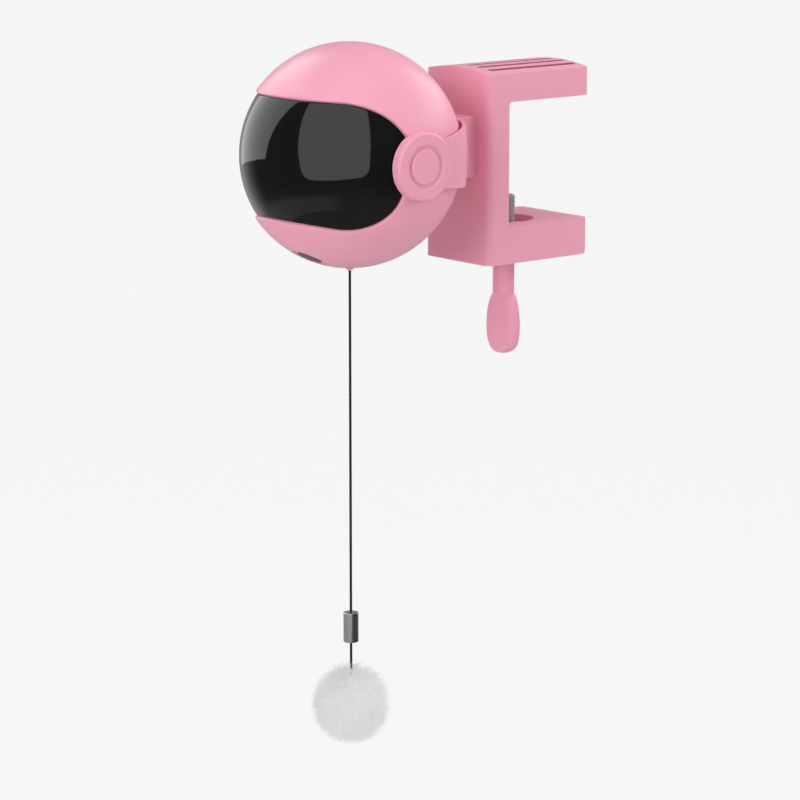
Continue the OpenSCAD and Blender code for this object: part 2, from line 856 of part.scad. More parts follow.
module battery_tray() {
    tray_x = bay_half_x + tray_wall;
    tray_y = bay_half_y + tray_wall;
    color("dimgray") at_head() at_bay() difference() {
        intersection() {
            translate([-tray_x, -tray_y, bay_floor - tray_wall]) cube([2 * tray_x, 2 * tray_y, head_r]);
            sphere(inner_r);
        }
        translate([-bay_half_x, -bay_half_y, bay_floor]) cube([2 * bay_half_x, 2 * bay_half_y, head_r]);
    }
}

module battery_cells() {
    nub_r = 1.9;
    nub_len = 1;
    color("silver") at_head() at_bay() for (side = [-1, 1])
        translate([0, side * cell_pitch / 2, cell_out]) rotate([0, side * 90, 0])
            translate([0, 0, -cell_len / 2]) {
                cylinder(d = cell_d, h = cell_len - nub_len);
                cylinder(r = nub_r, h = cell_len);
            }
}

module battery_contacts() {
    plate_half = cell_d / 2 - contact_edge;
    color("silver") at_head() at_bay() for (end = [-1, 1])
        translate([end * (bay_half_x - contact_t / 2), 0, cell_out])
            cube([contact_t, 2 * (cell_pitch / 2 + plate_half), 2 * plate_half], center = true);
}

module battery_door() {
    color("pink") at_head() at_bay() difference() {
        union() {
            intersection() {
                hollow_ball(head_r, door_step_r + part_gap / 2);
                linear_extrude(beyond) door_outline(door_lap - visor_gap, -visor_gap);
            }
            intersection() {
                hollow_ball(head_r - shell_wall / 4, shell_in_r);
                linear_extrude(beyond)
                    rounded_rect(bay_half_x - visor_gap, bay_half_y - visor_gap, door_corner_r - visor_gap);
            }
        }
        at_tab() {
            cylinder(r = small_screw_r + part_gap, h = beyond);
            translate([0, 0, door_step_r + part_gap])
                cylinder(r = head_ratio * small_screw_r + part_gap, h = beyond);
        }
    }
}

module door_screw() {
    color("silver") at_head() at_bay() at_tab() translate([0, 0, door_step_r]) {
        translate([0, 0, -door_screw_len]) cylinder(r = small_screw_r, h = door_screw_len + part_gap);
        translate([0, 0, part_gap]) cylinder(r = head_ratio * small_screw_r, h = small_head_t / 2);
    }
}

// Control

module circuit_board() {
    color("green") at_head() at_button()
        translate([-board_w / 2, board_tail, board_in]) cube([board_w, board_len, board_t]);
}

module tactile_switch() {
    color("black") at_head() at_button() difference() {
        translate([-switch_w / 2, -switch_w / 2, board_outer]) cube([switch_w, switch_w, switch_h]);
        translate([0, 0, switch_top - switch_well])
            cylinder(r = stem_r + body_gap, h = switch_well + cut_past);
    }
}

module power_button() {
    top = dish_floor + button_rise;
    color("gray") at_head() at_button() {
        translate([0, 0, button_flange_top - button_flange_t])
            cylinder(r = button_flange_r, h = button_flange_t);
        translate([0, 0, button_flange_top - button_flange_t])
            cylinder(r = button_r, h = top - button_edge - button_flange_top + button_flange_t);
        translate([0, 0, top - button_edge])
            cylinder(r1 = button_r, r2 = button_r - button_edge, h = button_edge);
        translate([0, 0, switch_top - stem_tip_depth])
            cylinder(r = stem_r, h = button_flange_top - switch_top);
    }
}

// Winch

function involute_deg(a) = tan(a) * 180 / PI - a;

// Half the angle that a tooth takes at radius r
function tooth_half(teeth, r) =
    let (pitch_r = gear_m * teeth / 2, base_r = pitch_r * cos(pressure_angle))
    90 / teeth - backlash / pitch_r * 180 / PI + involute_deg(pressure_angle)
        - involute_deg(acos(min(1, base_r / r)));

// Outline of a spur gear whose first tooth points along the first axis
module gear_outline(teeth, tip) {
    pitch_r = gear_m * teeth / 2;
    root_r = pitch_r - tooth_root * gear_m;
    base_r = max(root_r + gear_m * root_ease, pitch_r * cos(pressure_angle));
    tip_r = pitch_r + tip * gear_m;
    radii = [root_r, base_r, (base_r + pitch_r) / 2, pitch_r, (pitch_r + tip_r) / 2, tip_r];
    polygon([
        for (i = [0 : teeth - 1], side = [-1, 1], k = [0 : len(radii) - 1])
            let (r = side < 0 ? radii[k] : radii[len(radii) - 1 - k],
                 a = i * 360 / teeth + side * tooth_half(teeth, r))
            r * [cos(a), sin(a)]
    ]);
}

// Turn of gear b that meshes it with gear a, which lies at the angle away from b
function mesh_turn(away, turn_a, teeth_a, teeth_b) =
    away + 180 - (0.5 - (away - turn_a) * teeth_a / 360) * 360 / teeth_b;

idler_turn = mesh_turn(idler_angle, 0, spool_teeth, pinion_teeth);
motor_turn = mesh_turn(motor_angle, idler_turn, wheel_teeth, pinion_teeth);

module gear_at(at, turn, teeth, tip, x0) {
    across(x0, x0 + gear_w) translate(at) rotate(turn) gear_outline(teeth, tip);
}

module spool() {
    gear_x = first_mesh_x;
    flange_x = spool_half + flange_t;
    color("white") at_head() difference() {
        union() {
            rod(spool_at, core_r, -flange_x, flange_x);
            for (side = [0, 1]) mirror([side, 0, 0]) rod(spool_at, flange_r, spool_half, flange_x);
            rod(spool_at, hub_r, left_plate_in + body_gap, right_plate_x - body_gap);
            gear_at(spool_at, 0, spool_teeth, wheel_tip, gear_x);
            rod(spool_at, flange_r, flange_x - part_gap, gear_x + part_gap);
        }
        rod(spool_at, axle_r + running_fit, -head_r, head_r);
    }
}

module idler_gear() {
    color("ivory") at_head() difference() {
        union() {
            rod(idler_at, idler_hub_r, left_plate_in + body_gap, first_mesh_x);
            gear_at(idler_at, idler_turn, pinion_teeth, pinion_tip, first_mesh_x);
            rod(idler_at, idler_hub_r, first_mesh_x, right_plate_x - body_gap);
            gear_at(idler_at, idler_turn, wheel_teeth, wheel_tip, second_mesh_x);
        }
        rod(idler_at, axle_r + running_fit, -head_r, head_r);
    }
}

module motor_pinion() {
    color("gold") at_head() {
        gear_at(motor_at, motor_turn, pinion_teeth, pinion_tip, second_mesh_x);
        rod(motor_at, shaft_r, motor_front + body_gap, second_mesh_end);
    }
}

module motor() {
    color("silver") at_head() {
        translate([motor_back, motor_at[0] - motor_w / 2, motor_at[1] - motor_h / 2])
            cube([motor_len, motor_w, motor_h]);
        difference() {
            rod(motor_at, boss_ring_r, motor_front - cut_past, motor_front + boss_ring_h);
            rod(motor_at, shaft_r + running_fit, motor_front - cut_past,
                motor_front + boss_ring_h + cut_past);
        }
    }
}

// Side plate round the axles and ties, with a leg down to the shell
module plate_side() {
    edge = arm_w / 2;
    polygon([
        idler_at + [-edge, edge], aft_tie + [edge, edge],
        [foot_y + edge, -head_r], [foot_y - edge, -head_r], [foot_y - edge, spool_at[1] - edge],
        fore_tie + [-edge, -edge], fore_tie + [-edge, edge]
    ]);
}

// Frame round the motor, standing on the idler's axle
module motor_frame() {
    frame_w = motor_w + 2 * motor_frame_w;
    translate([motor_at[0] - frame_w / 2, idler_at[1]])
        square([frame_w, motor_at[1] - idler_at[1] + motor_h / 2 + motor_frame_w]);
}

module motor_seat(grow) {
    translate(motor_at) square([motor_w + 2 * grow, motor_h + 2 * grow], center = true);
}

module gearbox_frame() {
    color("gainsboro") at_head() difference() {
        union() {
            intersection() {
                sphere(inner_r);
                across(left_plate_x, left_plate_in) {
                    plate_side();
                    motor_frame();
                }
            }
            intersection() {
                sphere(inner_r);
                across(right_plate_x, right_plate_x + plate_t) plate_side();
            }
            for (at = [fore_tie, aft_tie]) rod(at, tie_r, left_plate_x, right_plate_x + plate_t);
        }
        across(left_plate_x - cut_past, left_plate_in + cut_past) motor_seat(running_fit);
        for (at = [spool_at, idler_at]) rod(at, axle_r + close_fit, -head_r, head_r);
    }
}

module gear_axles() {
    color("silver") at_head() for (at = [spool_at, idler_at])
        rod(at, axle_r, left_plate_x, right_plate_x + plate_t);
}

// String

// One tube swept along a helix on the spool, from its far end to where the string leaves
winding_points = [
    for (i = [0 : winding_loops * loop_rings])
        let (loop = i / loop_rings - winding_loops, a = 360 * loop)
        [winding_pitch * loop, winding_r * cos(a), winding_r * sin(a)]
];

function ring_point(p, r, side) =
    let (out = [0, p[1], p[2]] / norm([0, p[1], p[2]]), a = 360 * side / tube_sides)
    p + r * (cos(a) * out + sin(a) * [1, 0, 0]);

module swept_tube(points, r) {
    rings = len(points);
    corners = [for (p = points, s = [0 : tube_sides - 1]) ring_point(p, r, s)];
    walls = [
        for (i = [0 : rings - 2], s = [0 : tube_sides - 1])
            let (a = i * tube_sides + s, b = i * tube_sides + (s + 1) % tube_sides)
            each [[a, b, b + tube_sides], [a, b + tube_sides, a + tube_sides]]
    ];
    last = (rings - 1) * tube_sides;
    caps = [
        for (s = [1 : tube_sides - 2])
            each [[0, s + 1, s], [last, last + s, last + s + 1]]
    ];
    polyhedron(corners, concat(walls, caps));
}

module string_winding() {
    color("black") at_head() translate([0, spool_at[0], spool_at[1]]) swept_tube(winding_points, string_r);
}

last_ring = len(winding_points) - 1;
winding_gap = min([
    for (i = [0 : last_ring - loop_rings / 2], j = [i + loop_rings / 2 : last_ring])
        norm(winding_points[i] - winding_points[j])
]) - string_d;
echo(winding_gap = winding_gap);

module string_run() {
    color("black") at_head() translate([0, 0, run_bottom]) cylinder(r = string_r, h = run_top - run_bottom);
}

module string_eyelet() {
    color("pink") at_head() difference() {
        union() {
            translate([0, 0, eyelet_mouth])
                cylinder(r = eyelet_r, h = -eyelet_mouth - inner_r + eyelet_flange_t);
            intersection() {
                hollow_ball(inner_r, inner_r - eyelet_flange_t);
                translate([0, 0, -head_r]) cylinder(r = eyelet_flange_r, h = head_r);
            }
        }
        translate([0, 0, eyelet_mouth - cut_past]) cylinder(r = eyelet_bore, h = head_r);
    }
}

module string() {
    color("black") at_head() translate([0, 0, string_bottom]) cylinder(r = string_r, h = string_len);
}

module string_clasp() {
    color("dimgray") at_head() translate([0, 0, clasp_bottom]) {
        cylinder(d1 = clasp_d - 2 * clasp_edge, d2 = clasp_d, h = clasp_edge);
        translate([0, 0, clasp_edge]) cylinder(d = clasp_d, h = clasp_len - 2 * clasp_edge);
        translate([0, 0, clasp_len - clasp_edge])
            cylinder(d1 = clasp_d, d2 = clasp_d - 2 * clasp_edge, h = clasp_edge);
    }
}

module pom_tail() {
    color("black") at_head() translate([0, 0, tail_top - tail_len - tail_sink])
        cylinder(r = string_r, h = tail_len + tail_sink);
}

module pom_pom() {
    color("white") at_head() difference() {
        translate([0, 0, pom_z]) sphere(pom_r);
        translate([0, 0, tail_top - tail_len - tail_sink]) cylinder(r = string_r + close_fit, h = tail_len);
    }
}

clamp_frame();
clamp_nut();
yoke();
neck_screws();
pivot_pins();
ear_caps();
screw_tip();
clamp_screw();
upper_shell();
lower_shell();
visor();
shell_screws();
battery_tray();
battery_cells();
battery_contacts();
battery_door();
door_screw();
circuit_board();
tactile_switch();
power_button();
gearbox_frame();
gear_axles();
motor();
motor_pinion();
idler_gear();
spool();
string_winding();
string_run();
string_eyelet();
string();
string_clasp();
pom_tail();
pom_pom();
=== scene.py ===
import math

import bpy
import numpy as np
from mathutils import Matrix, Vector


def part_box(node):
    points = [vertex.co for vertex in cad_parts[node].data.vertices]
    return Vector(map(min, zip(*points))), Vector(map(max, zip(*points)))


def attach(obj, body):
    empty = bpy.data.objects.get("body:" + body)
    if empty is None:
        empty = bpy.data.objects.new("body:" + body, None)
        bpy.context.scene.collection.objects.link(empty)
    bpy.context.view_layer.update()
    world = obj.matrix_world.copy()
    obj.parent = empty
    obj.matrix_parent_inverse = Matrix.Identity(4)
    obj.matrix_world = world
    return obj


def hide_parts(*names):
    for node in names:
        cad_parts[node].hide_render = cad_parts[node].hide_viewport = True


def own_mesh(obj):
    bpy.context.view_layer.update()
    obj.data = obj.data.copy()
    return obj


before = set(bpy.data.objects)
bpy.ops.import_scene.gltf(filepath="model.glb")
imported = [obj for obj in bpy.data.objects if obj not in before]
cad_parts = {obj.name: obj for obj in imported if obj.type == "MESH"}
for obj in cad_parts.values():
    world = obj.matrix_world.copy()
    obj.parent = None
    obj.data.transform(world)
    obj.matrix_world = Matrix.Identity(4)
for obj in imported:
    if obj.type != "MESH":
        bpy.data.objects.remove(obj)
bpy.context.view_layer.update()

mm = 0.001
pivot = (0, -73, -16)  # middle of the ball, on its tilt axis, in mm like all sizes of the part
headAt = Vector(pivot) * mm
print("frame loaded:", len(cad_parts), "nodes")


def inScene(name, data):
    obj = bpy.data.objects.new(name, data)
    bpy.context.scene.collection.objects.link(obj)
    return obj


# camera, solved from the photo
shot = {"at": (0.85868, -0.75864, 0.12600), "azimuth": 50.461, "elevation": 11.848,
        "lens": 140.6, "sensor": 36, "clip": (0.05, 50)}


def makeCamera():
    turn, rise = math.radians(shot["azimuth"]), math.radians(shot["elevation"])
    level = math.cos(rise)
    back = Vector((math.sin(turn) * level, -math.cos(turn) * level, math.sin(rise)))
    data = bpy.data.cameras.new("photo_camera")
    data.lens, data.sensor_width = shot["lens"], shot["sensor"]
    data.clip_start, data.clip_end = shot["clip"]
    cam = inScene("photo_camera", data)
    cam.location = shot["at"]
    cam.rotation_mode = "QUATERNION"
    cam.rotation_quaternion = (-back).to_track_quat("-Z", "Y")
    bpy.context.scene.camera = cam
    bpy.context.view_layer.update()
    return cam


camera = makeCamera()
bpy.context.scene.view_settings.view_transform = "Standard"
print("camera set")


# small tools for modelling with operators
def deselect():
    if bpy.context.mode != "OBJECT":
        bpy.ops.object.mode_set(mode="OBJECT")
    bpy.ops.object.select_all(action="DESELECT")


def pick(obj):
    deselect()
    obj.select_set(True)
    bpy.context.view_layer.objects.active = obj
    return obj


def openAll(obj):
    # edit mode with everything selected
    pick(obj)
    bpy.ops.object.mode_set(mode="EDIT")
    bpy.ops.mesh.select_all(action="SELECT")


def done():
    bpy.ops.object.mode_set(mode="OBJECT")


def added(name):
    obj = bpy.context.object  # the primitive just added
    obj.name = obj.data.name = name
    bpy.ops.object.transform_apply(location=True, rotation=True, scale=True)
    return obj


def meshPiece(name, verts, edges, faces):
    mesh = bpy.data.meshes.new(name)
    mesh.from_pydata(verts, edges, faces)
    return inScene(name, mesh)


def box(name, low, high):
    deselect()
    low, high = Vector(low) * mm, Vector(high) * mm
    bpy.ops.mesh.primitive_cube_add(size=1, location=(low + high) / 2, scale=high - low)
    return added(name)


def rod(name, radius, start, end, sides=48):
    deselect()
    start, end = Vector(start) * mm, Vector(end) * mm
    turn = (end - start).to_track_quat("Z", "Y").to_euler()
    bpy.ops.mesh.primitive_cylinder_add(vertices=sides, radius=radius * mm, depth=(end - start).length,
                                        location=(start + end) / 2, rotation=turn)
    return added(name)


def globe(name, radius, coarse=1):
    deselect()  # its poles lie on the Y axis, so that its rings run round the visor
    bpy.ops.mesh.primitive_uv_sphere_add(segments=round(ball["around"] / coarse),
                                         ring_count=round(ball["rings"] / coarse), radius=radius * mm,
                                         location=headAt, rotation=(math.pi / 2, 0, 0))
    return added(name)


def choose(obj, kind, test):
    # leaves edit mode open with the vertices or edges selected that pass the test
    openAll(obj)
    bpy.ops.mesh.select_mode(type=kind)
    bpy.ops.mesh.select_all(action="DESELECT")
    done()
    for item in obj.data.vertices if kind == "VERT" else obj.data.edges:
        item.select = test(item)
    bpy.ops.object.mode_set(mode="EDIT")


def bevelEdges(obj, test, width, steps):
    # the test takes the two ends of an edge
    choose(obj, "EDGE", lambda e: test(*(obj.data.vertices[i].co for i in e.vertices)))
    bpy.ops.mesh.bevel(offset=width * mm, segments=steps, affect="EDGES", clamp_overlap=True)
    done()


def runsAlong(axis):
    return lambda a, b: sum(abs(a[i] - b[i]) for i in range(3) if i != axis) < 1e-6


def modify(obj, kind, **settings):
    pick(obj)
    mod = obj.modifiers.new(kind.lower(), kind)
    for key, value in settings.items():
        setattr(mod, key, value)
    bpy.ops.object.modifier_apply(modifier=mod.name)
    return obj


def roundOver(obj, width, steps, angle):
    return modify(obj, "BEVEL", width=width * mm, segments=steps, limit_method="ANGLE",
                  angle_limit=math.radians(angle))


def carve(obj, *cutters, how="DIFFERENCE"):
    for cutter in cutters:
        modify(obj, "BOOLEAN", object=cutter, operation=how, solver="EXACT")
        bpy.data.objects.remove(cutter)
    return obj


def join(name, pieces):
    pick(pieces[0])
    for piece in pieces[1:]:
        piece.select_set(True)
    bpy.ops.object.join()
    pieces[0].name = pieces[0].data.name = name
    return pieces[0]


def smooth(obj, angle=35):
    pick(obj)
    bpy.ops.object.shade_smooth_by_angle(angle=math.radians(angle))
    return obj


def crisp(obj, angle=35):
    # smooth, with flat faces that stay flat beside rounded edges
    return modify(smooth(obj, angle), "WEIGHTED_NORMAL", keep_sharp=True)


def rounded(points, radii, steps=5):
    # polyline whose corners are turned into arcs of the given radii
    out = []
    for i, (point, radius) in enumerate(zip(points, radii)):
        here = Vector(point)
        if not radius or i in (0, len(points) - 1):
            out.append(here)
            continue
        to, fro = [(Vector(points[k]) - here).normalized() for k in (i - 1, i + 1)]
        half = to.angle(fro) / 2
        middle = here + (to + fro).normalized() * radius / math.sin(half)
        first, last = [here + way * radius / math.tan(half) - middle for way in (to, fro)]
        for k in range(steps + 1):
            out.append(middle + first.lerp(last, k / steps).normalized() * radius)
    return out


def lathe(name, profile, place, steps=64):
    # spins (radius, height) points in mm about the local Z axis and sets the result at place
    obj = meshPiece(name, [(p[0] * mm, 0, p[1] * mm) for p in profile],
                    [(i, i + 1) for i in range(len(profile) - 1)], [])
    openAll(obj)
    bpy.ops.mesh.spin(steps=steps, angle=2 * math.pi, center=(0, 0, 0), axis=(0, 0, 1))
    bpy.ops.mesh.select_all(action="SELECT")
    bpy.ops.mesh.remove_doubles(threshold=1e-6)
    bpy.ops.mesh.normals_make_consistent(inside=False)
    done()
    obj.data.transform(place)
    return obj


def turned(name, shape, place):
    return crisp(lathe(name, rounded(shape["profile"], shape["corners"]), place, shape["sides"]))


def along(direction, at=(0, 0, 0)):
    # matrix that turns local Z along a direction
    turn = Vector(direction).to_track_quat("Z", "Y").to_matrix().to_4x4()
    return Matrix.Translation(Vector(at) * mm) @ turn


def fromBall(direction):
    return Matrix.Translation(headAt) @ along(direction)


def headPoint(x, y, z):
    return (x, y + pivot[1], z + pivot[2])


def outAt(axis, reach):
    # point in mm at a distance from the middle of the ball
    return [c / mm for c in headAt + axis * reach * mm]


def settle(obj, body, slot, finish, *nodes):
    obj.data.materials.clear()
    obj.data.materials.append(finish)
    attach(obj, body)
    if nodes:
        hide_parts(*nodes)
    return obj


# shader maths: a socket that takes part in sums, and one method for every other node
class Wire:
    def __init__(self, tree, socket):
        self.tree, self.socket = tree, socket

    @staticmethod
    def node(tree, kind, settings=None, inputs=None, out=0):
        made = tree.nodes.new(kind)
        for key, value in (settings or {}).items():
            setattr(made, key, value)
        feed(tree, made, inputs or {})
        return Wire(tree, made.outputs[out])

    def sum(self, operation, first, second):
        return Wire.node(self.tree, "ShaderNodeMath", {"operation": operation}, {0: first, 1: second})

    def __add__(self, other):
        return self.sum("ADD", self, other)

    def __radd__(self, other):
        return self.sum("ADD", other, self)

    def __sub__(self, other):
        return self.sum("SUBTRACT", self, other)

    def __rsub__(self, other):
        return self.sum("SUBTRACT", other, self)

    def __mul__(self, other):
        return self.sum("MULTIPLY", self, other)

    def __rmul__(self, other):
        return self.sum("MULTIPLY", other, self)

    def __pow__(self, other):
        return self.sum("POWER", self, other)

    def __rpow__(self, other):
        return self.sum("POWER", other, self)

    def __gt__(self, other):
        return self.sum("GREATER_THAN", self, other)

    def __lt__(self, other):
        return self.sum("LESS_THAN", self, other)


def feed(tree, node, values):
    for key, value in values.items():
        if isinstance(value, Wire):
            tree.links.new(value.socket, node.inputs[key])
        else:
            node.inputs[key].default_value = value


def newFinish(name):
    finish = bpy.data.materials.new(name)
    finish.use_nodes = True
    tree = finish.node_tree
    return finish, tree, tree.nodes["Principled BSDF"]


def objectCoords(tree, stretch=(1, 1, 1)):
    coords = Wire.node(tree, "ShaderNodeTexCoord", out="Object")
    return Wire.node(tree, "ShaderNodeMapping", inputs={"Vector": coords, "Scale": stretch})


def noise(tree, coords, scale, detail, roughness=0.5):
    return Wire.node(tree, "ShaderNodeTexNoise",
                     inputs={"Vector": coords, "Scale": scale, "Detail": detail, "Roughness": roughness})


def colour(value):
    return value if isinstance(value, Wire) else (*value, 1)


def mixColour(tree, share, first, second):
    return Wire.node(tree, "ShaderNodeMix", {"data_type": "RGBA"},
                     {0: share, 6: colour(first), 7: colour(second)}, out=2)


def bump(tree, height, strength, distance):
    return Wire.node(tree, "ShaderNodeBump",
                     inputs={"Height": height, "Strength": strength, "Distance": distance})


# moulded plastic: even colour with faint flow marks, a fine spark-eroded skin and a patchy satin
mould = {"flowScale": 28, "skinScale": 2600, "patchScale": 160, "roughSpread": 0.1, "skinRough": 0.06,
         "skinDepth": 0.12, "skinHeight": 0.0001, "ior": 1.46, "shine": 0.5}


def mouldedPlastic(name, look):
    look = {**mould, **look}
    finish, tree, shader = newFinish(name)
    coords = objectCoords(tree)
    flow = noise(tree, coords, look["flowScale"], detail=3)
    skin = noise(tree, coords, look["skinScale"], detail=2)
    patch = noise(tree, coords, look["patchScale"], detail=4, roughness=0.6)
    base = mixColour(tree, flow, look["deep"], look["pale"])
    # an optional mask mixes in a darker colour: painted shade
    if "shadeMask" in look:
        base = mixColour(tree, look["shadeMask"](tree), base, look["dust"])
    feed(tree, shader, {
        "Base Color": base,
        "Roughness": look["rough"] + (patch - 0.5) * look["roughSpread"] + (skin - 0.5) * look["skinRough"],
        "Normal": bump(tree, skin, look["skinDepth"], look["skinHeight"]),
        "IOR": look["ior"],
        "Specular IOR Level": look["shine"],
    })
    return finish


def visorGloss():
    look = {"base": (0.0045, 0.0045, 0.005), "smear": (0.008, 0.008, 0.0085), "rough": 0.035, "ior": 1.47,
            "smearStretch": (1, 1, 0.35), "smearScale": 60, "smearRough": 0.02,
            "dustScale": 1900, "dustPower": 14, "dustRough": 0.5,
            "waveScale": 45, "waveDepth": 0.02, "waveHeight": 0.0004}
    finish, tree, shader = newFinish("visor_gloss")
    coords = objectCoords(tree)
    smear = noise(tree, objectCoords(tree, look["smearStretch"]), look["smearScale"], detail=4, roughness=0.6)
    dust = noise(tree, coords, look["dustScale"], detail=1) ** look["dustPower"]
    wave = noise(tree, coords, look["waveScale"], detail=1)
    feed(tree, shader, {
        "Base Color": mixColour(tree, smear, look["base"], look["smear"]),
        "Roughness": look["rough"] + smear * look["smearRough"] + dust * look["dustRough"],
        "Normal": bump(tree, wave, look["waveDepth"], look["waveHeight"]),
        "IOR": look["ior"],
    })
    return finish


metal = {"stretch": (1, 1, 0.06), "grainScale": 2400, "grainRough": 0.25, "grainDepth": 0.15,
         "grainHeight": 0.00005, "stainScale": 220}


def brushedMetal(name, look):
    look = {**metal, **look}
    finish, tree, shader = newFinish(name)
    grain = noise(tree, objectCoords(tree, look["stretch"]), look["grainScale"], detail=3, roughness=0.6)
    stain = noise(tree, objectCoords(tree), look["stainScale"], detail=3)
    feed(tree, shader, {
        "Base Color": mixColour(tree, stain, look["deep"], look["pale"]),
        "Metallic": 1.0,
        "Roughness": look["rough"] + (grain - 0.5) * look["grainRough"],
        "Normal": bump(tree, grain, look["grainDepth"], look["grainHeight"]),
    })
    return finish


def stringFibre():
    look = {"deep": (0.002, 0.002, 0.0025), "pale": (0.011, 0.011, 0.012), "stretch": (1, 1, 0.25),
            "scale": 5200, "rough": 0.62, "roughSpread": 0.25, "depth": 0.5, "height": 0.00006, "sheen": 0.05}
    finish, tree, shader = newFinish("string_fibre")
    fibre = noise(tree, objectCoords(tree, look["stretch"]), look["scale"], detail=3, roughness=0.7)
    feed(tree, shader, {
        "Base Color": mixColour(tree, fibre, look["deep"], look["pale"]),
        "Roughness": look["rough"] + fibre * look["roughSpread"],
        "Normal": bump(tree, fibre, look["depth"], look["height"]),
        "Sheen Weight": look["sheen"],
    })
    return finish


def pomFluff():
    look = {"deep": (0.7, 0.7, 0.705), "pale": (0.82, 0.82, 0.82), "clumpScale": 260, "fineScale": 3200,
            "rough": 0.85, "roughSpread": 0.15, "shine": 0.15, "sheen": 0.2}
    finish, tree, shader = newFinish("pom_fluff")
    coords = objectCoords(tree)
    clump = noise(tree, coords, look["clumpScale"], detail=3, roughness=0.6)
    fine = noise(tree, coords, look["fineScale"], detail=1)
    feed(tree, shader, {
        "Base Color": mixColour(tree, clump, look["deep"], look["pale"]),
        "Roughness": look["rough"] + fine * look["roughSpread"],
        "Specular IOR Level": look["shine"],
        "Sheen Weight": look["sheen"],
    })
    return finish


def cellJacket():
    look = {"body": (0.03, 0.06, 0.13), "band": (0.55, 0.32, 0.16), "bandFrom": 0.012, "inkScale": 900,
            "rough": 0.3, "inkRough": 0.12, "metal": 0.35, "bandMetal": 0.3}
    finish, tree, shader = newFinish("cell_jacket")
    coords = objectCoords(tree)
    ink = noise(tree, coords, look["inkScale"], detail=2)
    band = Wire.node(tree, "ShaderNodeSeparateXYZ", inputs={"Vector": coords}, out="X") > look["bandFrom"]
    feed(tree, shader, {
        "Base Color": mixColour(tree, band, look["body"], look["band"]),
        "Roughness": look["rough"] + ink * look["inkRough"],
        "Metallic": look["metal"] + band * look["bandMetal"],
    })
    return finish


def boardMask():
    look = {"mask": (0.012, 0.13, 0.05), "track": (0.03, 0.24, 0.1), "scale": 420, "gap": 0.03,
            "rough": 0.28, "trackRough": 0.15, "depth": 0.3, "height": 0.00005}
    finish, tree, shader = newFinish("board_mask")
    pattern = {"Vector": objectCoords(tree), "Scale": look["scale"], "Mortar Size": look["gap"]}
    tracks = Wire.node(tree, "ShaderNodeTexBrick", {"offset": 0.5}, pattern, out="Fac")
    feed(tree, shader, {
        "Base Color": mixColour(tree, tracks, look["mask"], look["track"]),
        "Roughness": look["rough"] + tracks * look["trackRough"],
        "Normal": bump(tree, tracks, look["depth"], look["height"]),
    })
    return finish


pinkLook = {"deep": (0.83, 0.345, 0.46), "pale": (0.87, 0.375, 0.49), "rough": 0.31, "ior": 1.45}
pinkPlastic = mouldedPlastic("pink_plastic", pinkLook)
tipGrey = mouldedPlastic("tip_grey", {"deep": (0.26, 0.25, 0.255), "pale": (0.33, 0.32, 0.325),
                                      "rough": 0.24})
buttonGrey = mouldedPlastic("button_grey", {"deep": (0.12, 0.095, 0.105), "pale": (0.16, 0.13, 0.14),
                                            "rough": 0.55, "shine": 0.2})
darkPlastic = mouldedPlastic("dark_plastic", {"deep": (0.03, 0.03, 0.032), "pale": (0.045, 0.045, 0.048),
                                              "rough": 0.55})
gearWhite = mouldedPlastic("gear_white", {"deep": (0.76, 0.76, 0.73), "pale": (0.82, 0.82, 0.8),
                                          "rough": 0.36})
visorFinish = visorGloss()
platedSteel = brushedMetal("plated_steel", {"deep": (0.52, 0.52, 0.53), "pale": (0.66, 0.66, 0.67),
                                            "rough": 0.3})
pinionBrass = brushedMetal("pinion_brass", {"deep": (0.62, 0.45, 0.18), "pale": (0.76, 0.58, 0.28),
                                            "rough": 0.28})
claspMetal = brushedMetal("clasp_metal", {"deep": (0.47, 0.47, 0.48), "pale": (0.62, 0.62, 0.63),
                                          "rough": 0.24})
blackFibre = stringFibre()
whiteFluff = pomFluff()
cellFinish = cellJacket()
boardFinish = boardMask()
print("finishes made")


# string, its twisted lay in the mesh
stringLay = {"top": -57.3, "bottom": -183.3, "lift": 121, "diameter": 1.0, "sides": 15, "step": 0.4,
             "lobes": 3, "depth": 0.16, "turn": 3.2}
innerString = {"step": 0.6, "sides": 12, "diameter": 1.0}
wound = {"radius": 7, "pitch": 1.45, "loops": 3, "points": 48, "at": (-80, -28), "diameter": 0.98}


def tubeAlong(name, points, diameter, sides):
    # sweeps a lobed section along points in mm, one turn of the lay for each so many mm
    lay, points = stringLay, [Vector(p) for p in points]
    verts, faces, run, last = [], [], 0.0, len(points) - 1
    side = (points[1] - points[0]).normalized().orthogonal().normalized()
    for i, point in enumerate(points):
        run += (point - points[i - 1]).length if i else 0
        tangent = (points[min(i + 1, last)] - points[max(i - 1, 0)]).normalized()
        side = (side - tangent * side.dot(tangent)).normalized()
        other = tangent.cross(side)
        for k in range(sides):
            a = 2 * math.pi * k / sides
            twist = lay["lobes"] * (a - 2 * math.pi * run / lay["turn"])
            reach = diameter / 2 * (1 - lay["depth"] * (0.5 - 0.5 * math.cos(twist)))
            verts.append((point + (side * math.cos(a) + other * math.sin(a)) * reach) * mm)
    for i in range(last):
        for k in range(sides):
            a, b = i * sides + k, i * sides + (k + 1) % sides
            faces.append((a, b, b + sides, a + sides))
    faces.append(tuple(reversed(range(sides))))
    faces.append(tuple(range(last * sides, (last + 1) * sides)))
    return smooth(meshPiece(name, verts, [], faces), 60)


def straight(top, bottom, step):
    count = max(2, round(abs(top - bottom) / step))
    return [(pivot[0], pivot[1], top + (bottom - top) * i / count) for i in range(count + 1)]


def makeString():
    route = straight(stringLay["top"], stringLay["bottom"], stringLay["step"])
    cord = tubeAlong("hanging_string", route, stringLay["diameter"], stringLay["sides"])
    settle(cord, "line", "black_string", blackFibre, "string")
    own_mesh(cord)
    return cord, route


hangingString, stringRoute = makeString()


